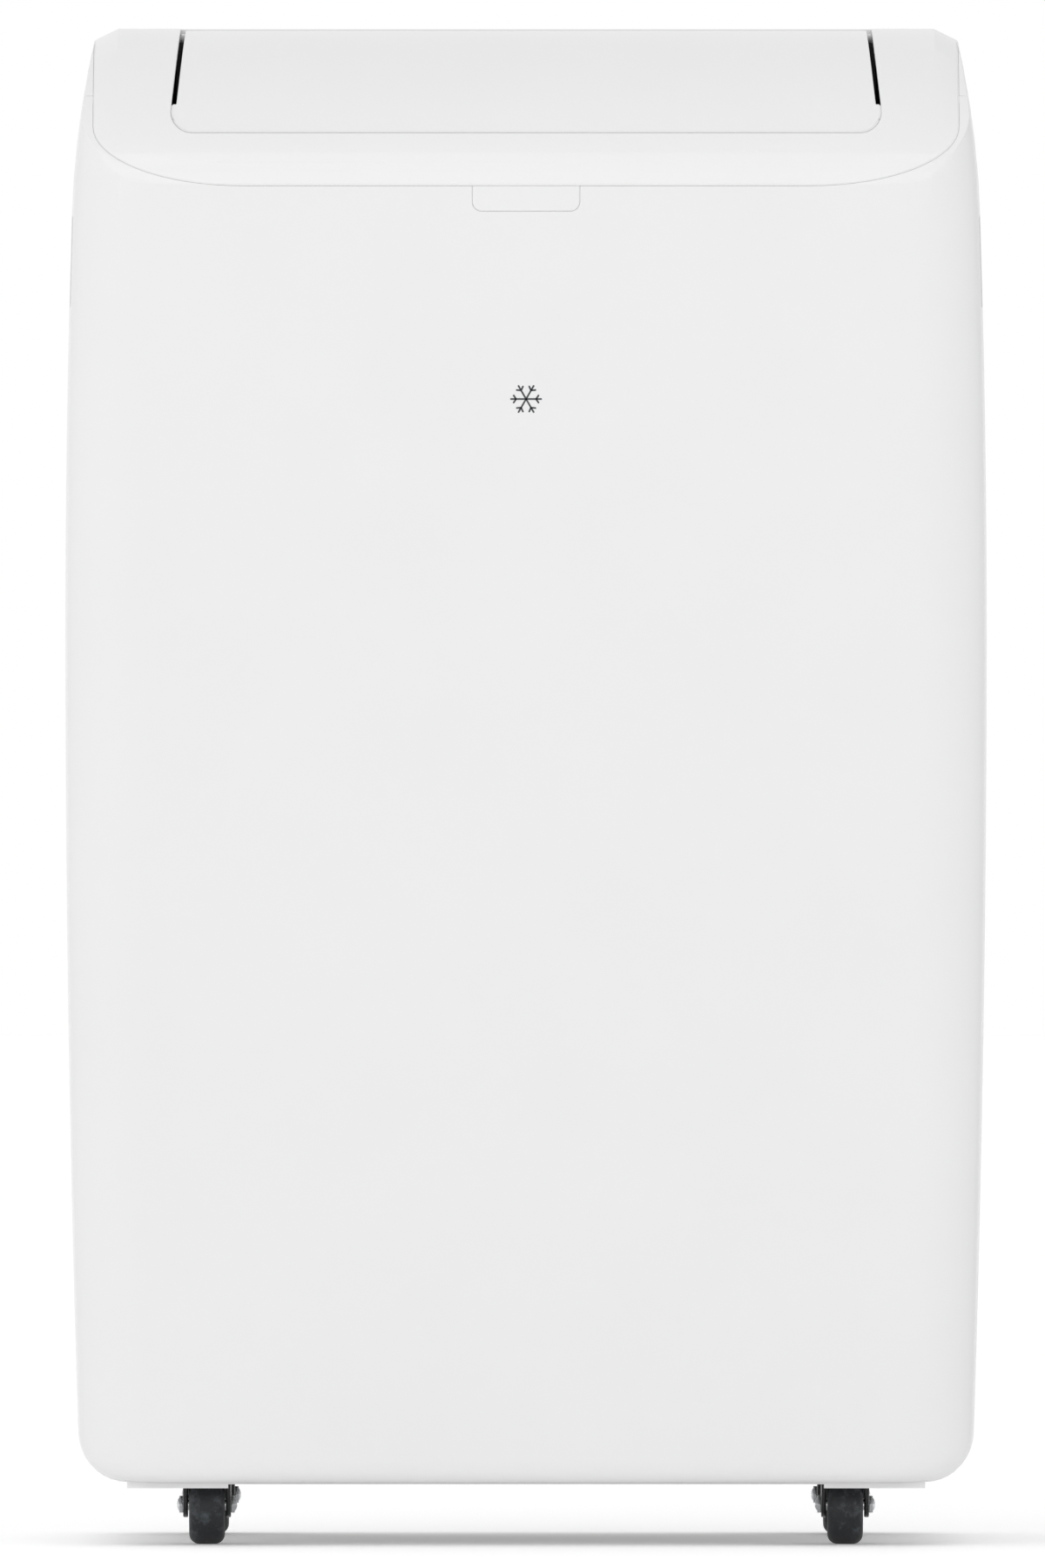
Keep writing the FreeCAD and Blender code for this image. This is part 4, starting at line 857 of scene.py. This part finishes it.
def makeHandleCup(side, name, node):
    cup = handleShape(name, side, -0.3, rear["handleX"], 227)
    openMesh(cup)
    pick(cup, "EDGE", lambda p, e: abs(p.x) < rear["handleX"] + 1)
    bpy.ops.mesh.bevel(offset=mm(6), segments=5, affect="EDGES")
    pick(cup, "FACE", lambda p, f: abs(p.x) > 226.5)
    bpy.ops.mesh.delete(type="FACE")
    bpy.ops.mesh.select_all(action="SELECT")
    bpy.ops.mesh.normals_make_consistent(inside=True)
    closeMesh()
    modify(cup, "SOLIDIFY", thickness=mm(2.5), offset=-1, use_even_offset=True)
    finishEdges(cup, 0.4)
    return place(cup, casingAbs, "cabinet", [node])


makeHandleCup(1, "handleCupRight", "handle_cup_right")
makeHandleCup(-1, "handleCupLeft", "handle_cup_left")

# Black pieces behind the ends of the flap: painted shade, so that the slots there read black.

slotShade = {"inner": 169.2, "outer": 176.4, "radius": 86, "thick": 12, "from": 35, "to": 90, "step": 5}


def makeSlotShades():
    angles = list(range(slotShade["from"], slotShade["to"] + 1, slotShade["step"]))
    outerArc = [(slotShade["radius"], angle) for angle in angles]
    innerArc = [(slotShade["radius"] - slotShade["thick"], angle) for angle in reversed(angles)]
    for side, name in ((-1, "flapSlotShadeLeft"), (1, "flapSlotShadeRight")):
        low, high = sorted((side * slotShade["inner"], side * slotShade["outer"]))
        points = []
        for radius, angle in outerArc + innerArc:
            turn = math.radians(angle)
            points.append((low, arcBack - radius * math.cos(turn), arcLow + radius * math.sin(turn)))
        strip = addLine(name, points)
        openMesh(strip)
        bpy.ops.mesh.select_all(action="SELECT")
        bpy.ops.mesh.extrude_region_move(TRANSFORM_OT_translate={"value": mm(high - low, 0, 0)})
        bpy.ops.mesh.select_all(action="SELECT")
        bpy.ops.mesh.normals_make_consistent(inside=False)
        closeMesh()
        finishEdges(strip, 0.8)
        # a black piece of painted shade behind the slot at this end of the flap
        place(strip, slotShadeBlack, "cabinet")


makeSlotShades()

# Printed snowflake on the front.

snow = {
    "y": -198.48, "z": 577, "arm": 8, "wide": 0.9, "twig": 2.6, "twigAt": 5, "twigLean": 55, "thick": 0.08,
}


def makeSnowflake():
    bars = []
    halfWide = snow["wide"] / 2
    lines = [(0, snow["arm"], 0)]
    lines += [(snow["twigAt"], snow["twig"], lean) for lean in (snow["twigLean"], -snow["twigLean"])]
    for turn in range(6):
        angle = math.radians(60 * turn)
        for start, length, lean in lines:
            way = angle + math.radians(lean)
            bar = addBlock("bar", (0, snow["y"], -halfWide), (length, snow["y"] + snow["thick"], halfWide))
            openMesh(bar)
            pick(bar, "EDGE", lambda p, e: p.x > length - 0.1 and span(e, "y") > 0.05)
            bpy.ops.mesh.bevel(offset=mm(snow["wide"] / 2.2), segments=3, affect="EDGES")
            bpy.ops.mesh.select_all(action="SELECT")
            bpy.ops.transform.rotate(value=way, orient_axis="Y", center_override=(0, 0, 0))
            shift = mm(start * math.cos(angle), 0, snow["z"] + start * math.sin(angle))
            bpy.ops.transform.translate(value=shift)
            closeMesh()
            bars.append(bar)
    flake = join("snowflakePrint", bars)
    finishEdges(flake, 0)
    return place(flake, printInk, "cabinet")


makeSnowflake()
print("cups, seals and print made")

# Casters.

caster = {
    "places": {
        "front_left": (-161, -144), "front_right": (161, -144),
        "rear_left": (-161, 132), "rear_right": (161, 132),
    },
    "trail": 12, "radius": 20, "half": 9, "shoulder": 5, "plateIn": 9.6, "plateThick": 2.5, "axle": 3,
    "webSteps": ((1.5, 0), (0.8, -1.6), (6.0, 0), (0.5, 1.5)),
    "plate": ((-22, 46), (-22, 38), (-7, 14), (7, 13), (8, 27), (-2, 46)),
    "crown": (14, 43, 47), "race": (11.5, 40, 43.5), "stem": (5, 46, 65),
    "nutRadius": 4.9, "nutTall": 1.9, "domeRadius": 3.7, "domeAt": 0.9, "domeFlat": 0.62,
}
wheelAt = (0, 0, caster["radius"])


def onAxle(p):
    return math.hypot(p.y, p.z - caster["radius"]) < 0.5


def makeWheel():
    # tyre with round shoulders, a sunk web and a hub boss, turned as one
    w = caster
    wheel = addRod("wheel", w["radius"], -w["half"], w["half"], wheelAt, "X", 72)
    openMesh(wheel)
    pick(wheel, "EDGE", lambda p, e: abs(p.x) > w["half"] - 0.1 and len(e.link_faces) == 2)
    bpy.ops.mesh.bevel(offset=mm(w["shoulder"]), segments=7, affect="EDGES")
    for side in (-1, 1):
        for inset, sink in w["webSteps"]:
            pick(wheel, "FACE", lambda p, f: f.normal.x * side > 0.99 and onAxle(p))
            bpy.ops.mesh.inset(thickness=mm(inset), depth=0)
            if sink:
                bpy.ops.transform.translate(value=mm(side * sink, 0, 0))
    pick(wheel, "FACE", lambda p, f: abs(f.normal.x) > 0.99 and onAxle(p))
    bpy.ops.mesh.inset(thickness=mm(1.8), depth=0)
    pick(wheel, "FACE", lambda p, f: abs(f.normal.x) > 0.99 and onAxle(p))
    bpy.ops.mesh.bridge_edge_loops()
    closeMesh()
    return finishEdges(wheel, 0.3, 40, 35)


def makeForkPlate(side):
    inner = side * caster["plateIn"]
    # seen from the side, the plate runs from the crown down to a round eye about the axle
    plate = addLine("plate", [(inner, y, z) for y, z in caster["plate"]])
    openMesh(plate)
    pick(plate, "VERT", lambda p, v: p.z < 30)
    bpy.ops.mesh.bevel(offset=mm(5), segments=5, affect="VERTICES")
    bpy.ops.mesh.select_all(action="SELECT")
    across = mm(side * caster["plateThick"], 0, 0)
    bpy.ops.mesh.extrude_region_move(TRANSFORM_OT_translate={"value": across})
    bpy.ops.mesh.select_all(action="SELECT")
    bpy.ops.mesh.normals_make_consistent(inside=False)
    closeMesh()
    return plate


def makeNut(side):
    # a hexagon with a domed cap
    w = caster
    start = w["plateIn"] + w["plateThick"]
    low, high = sorted((side * start, side * (start + w["nutTall"])))
    hexagon = addRod("hexagon", w["nutRadius"], low, high, wheelAt, "X", 6)
    middle = mm(side * (start + w["domeAt"]), 0, w["radius"])
    bpy.ops.object.select_all(action="DESELECT")
    bpy.ops.mesh.primitive_uv_sphere_add(
        segments=28, ring_count=14, radius=mm(w["domeRadius"]), location=middle
    )
    dome = named("dome")
    openMesh(dome)
    bpy.ops.mesh.select_all(action="SELECT")
    bpy.ops.transform.resize(value=(w["domeFlat"], 1, 1), center_override=middle)
    closeMesh()
    return [hexagon, dome]


def makeCasters():
    wheel = makeWheel()
    swivelAt = (0, -caster["trail"], 0)
    crown = addRod("crown", *caster["crown"], swivelAt, "Z", 48)
    race = addRod("race", *caster["race"], swivelAt, "Z", 48)
    stem = addRod("stem", *caster["stem"], swivelAt, "Z", 32)
    bridge = addBlock("bridge", (-12.1, -22, 42.5), (12.1, -2, 45.5))
    fork = join("fork", [crown, race, stem, bridge, makeForkPlate(-1), makeForkPlate(1)])
    finishEdges(fork, 0.6, 40, 35)
    shaft = addRod("shaft", caster["axle"], -12.4, 12.4, wheelAt, "X", 32)
    axle = join("axle", [shaft] + makeNut(-1) + makeNut(1))
    finishEdges(axle, 0.25, 40, 35)
    for corner, (x, y) in caster["places"].items():
        offset = (x, y + caster["trail"], 0)
        rolling = move(duplicate(wheel, "wheel_" + corner), offset)
        place(rolling, tyreRubber, "wheel_" + corner, ["caster_wheel_" + corner])
        swivel = move(duplicate(fork, "fork_" + corner), offset)
        place(swivel, forkEnamel, "caster_" + corner, ["caster_fork_" + corner])
        bolt = move(duplicate(axle, "axle_" + corner), offset)
        place(bolt, boltChrome, "caster_" + corner, ["caster_fork_" + corner])
    for piece in (wheel, fork, axle):
        bpy.data.objects.remove(piece)


makeCasters()
print("casters made")

# Carried-over CAD nodes and their finishes.

cadFinishes = {
    casingAbs: [
        "base_pan", "drain_cap", "control_panel", "exhaust_collar", "upper_grille", "lower_grille",
    ],
    ductPp: ["outlet_duct", "vane_link"] + ["vane_%d" % index for index in range(1, 6)],
    innerPp: ["drip_tray", "evaporator_scroll", "condenser_scroll", "float_switch"],
    filterNet: ["upper_filter", "lower_filter"],
    fanPlastic: ["evaporator_wheel", "condenser_wheel", "splash_wheel"],
    buttonAbs: ["button_power", "button_mode", "button_cooler", "button_warmer", "button_fan_speed"],
    coilFins: ["evaporator_coil", "condenser_coil"],
    copperTube: ["discharge_pipe", "suction_pipe", "capillary_tube"],
    compressorEnamel: ["compressor", "accumulator"],
    motorSteel: ["evaporator_motor", "condenser_motor", "splash_motor"],
    sheetZinc: ["electrical_box"],
    grommetRubber: ["compressor_grommets", "drain_plug", "cord_gland"],
    boardLaminate: ["control_board"],
    screwSteel: ["rear_screws"],
}
for finish, names in cadFinishes.items():
    for name in names:
        paint(nodes[name], finish)

# Floor, light and camera.

stage = {
    "lens": 904, "distance": 20, "aim": (-1.8, 383.4), "floor": 80, "glow": 0.12,
    "walls": ((0.3, 1.0), (0.62, 1.0), (0.85, 0.7)),
    "lightAt": (-0.8, -4.0, 2.4), "lightWide": 3.0, "lightTall": 1.2, "lightPower": 20,
    "lightDown": 63, "lightTurn": -11,
}


def makeStage():
    bpy.ops.object.select_all(action="DESELECT")
    bpy.ops.mesh.primitive_plane_add(size=stage["floor"], location=(0, 0, 0))
    floor = named("floor")
    # painted board, lit a little from within so that it stays white at the edges
    shader = {"Roughness": 0.6, "Emission Color": (1, 1, 1, 1), "Emission Strength": stage["glow"]}
    material, tree, spot, surface = startMaterial("floorPaintedWhite", shader)
    mottle = addNode(tree, "TexNoise", {"Scale": 4, "Detail": 3}, {"Vector": spot})
    white = blendColour(tree, mottle.outputs["Fac"], "FAFAFA", "FDFDFD")
    tree.links.new(white, surface.inputs["Base Color"])
    paint(floor, material)

    world = bpy.data.worlds.new("studio")
    bpy.context.scene.world = world
    world.use_nodes = True
    tree = world.node_tree
    tree.nodes.clear()
    # white studio walls, a little darker to the sides
    toward = addNode(tree, "TexCoord").outputs["Generated"]
    split = addNode(tree, "SeparateXYZ", None, {"Vector": toward})
    ramp = addNode(tree, "ValToRGB", None, {"Fac": spread(tree, split.outputs["X"], 0, 1, -1, 1)})
    stops = ramp.color_ramp.elements
    stops[0].color = (0.78, 0.78, 0.78, 1)
    stops[1].color = (0.52, 0.52, 0.53, 1)
    for at, value in stage["walls"]:
        stop = stops.new(at)
        stop.color = (value, value, value, 1)
    back = addNode(tree, "Background", {"Strength": 1.0}, {"Color": ramp.outputs["Color"]})
    output = tree.nodes.new("ShaderNodeOutputWorld")
    tree.links.new(back.outputs[0], output.inputs["Surface"])

    bpy.ops.object.light_add(type="AREA", location=stage["lightAt"])
    key = bpy.context.object
    key.name = "keyLight"
    key.data.shape = "RECTANGLE"
    key.data.size = stage["lightWide"]
    key.data.size_y = stage["lightTall"]
    key.data.energy = stage["lightPower"]
    key.rotation_euler = (math.radians(stage["lightDown"]), 0, math.radians(stage["lightTurn"]))

    camera = bpy.data.cameras.new("camera")
    camera.lens = stage["lens"]
    camera.sensor_width = 36
    camera.clip_end = 200
    eye = bpy.data.objects.new("camera", camera)
    bpy.context.scene.collection.objects.link(eye)
    eye.location = (mm(stage["aim"][0]), -stage["distance"], mm(stage["aim"][1]))
    eye.rotation_euler = (math.pi / 2, 0, 0)
    bpy.context.scene.camera = eye
    bpy.context.scene.view_settings.view_transform = "Standard"


makeStage()
for leftover in (skinPaint, cutPaint):
    bpy.data.materials.remove(leftover)
bpy.ops.object.select_all(action="DESELECT")
print("stage made")
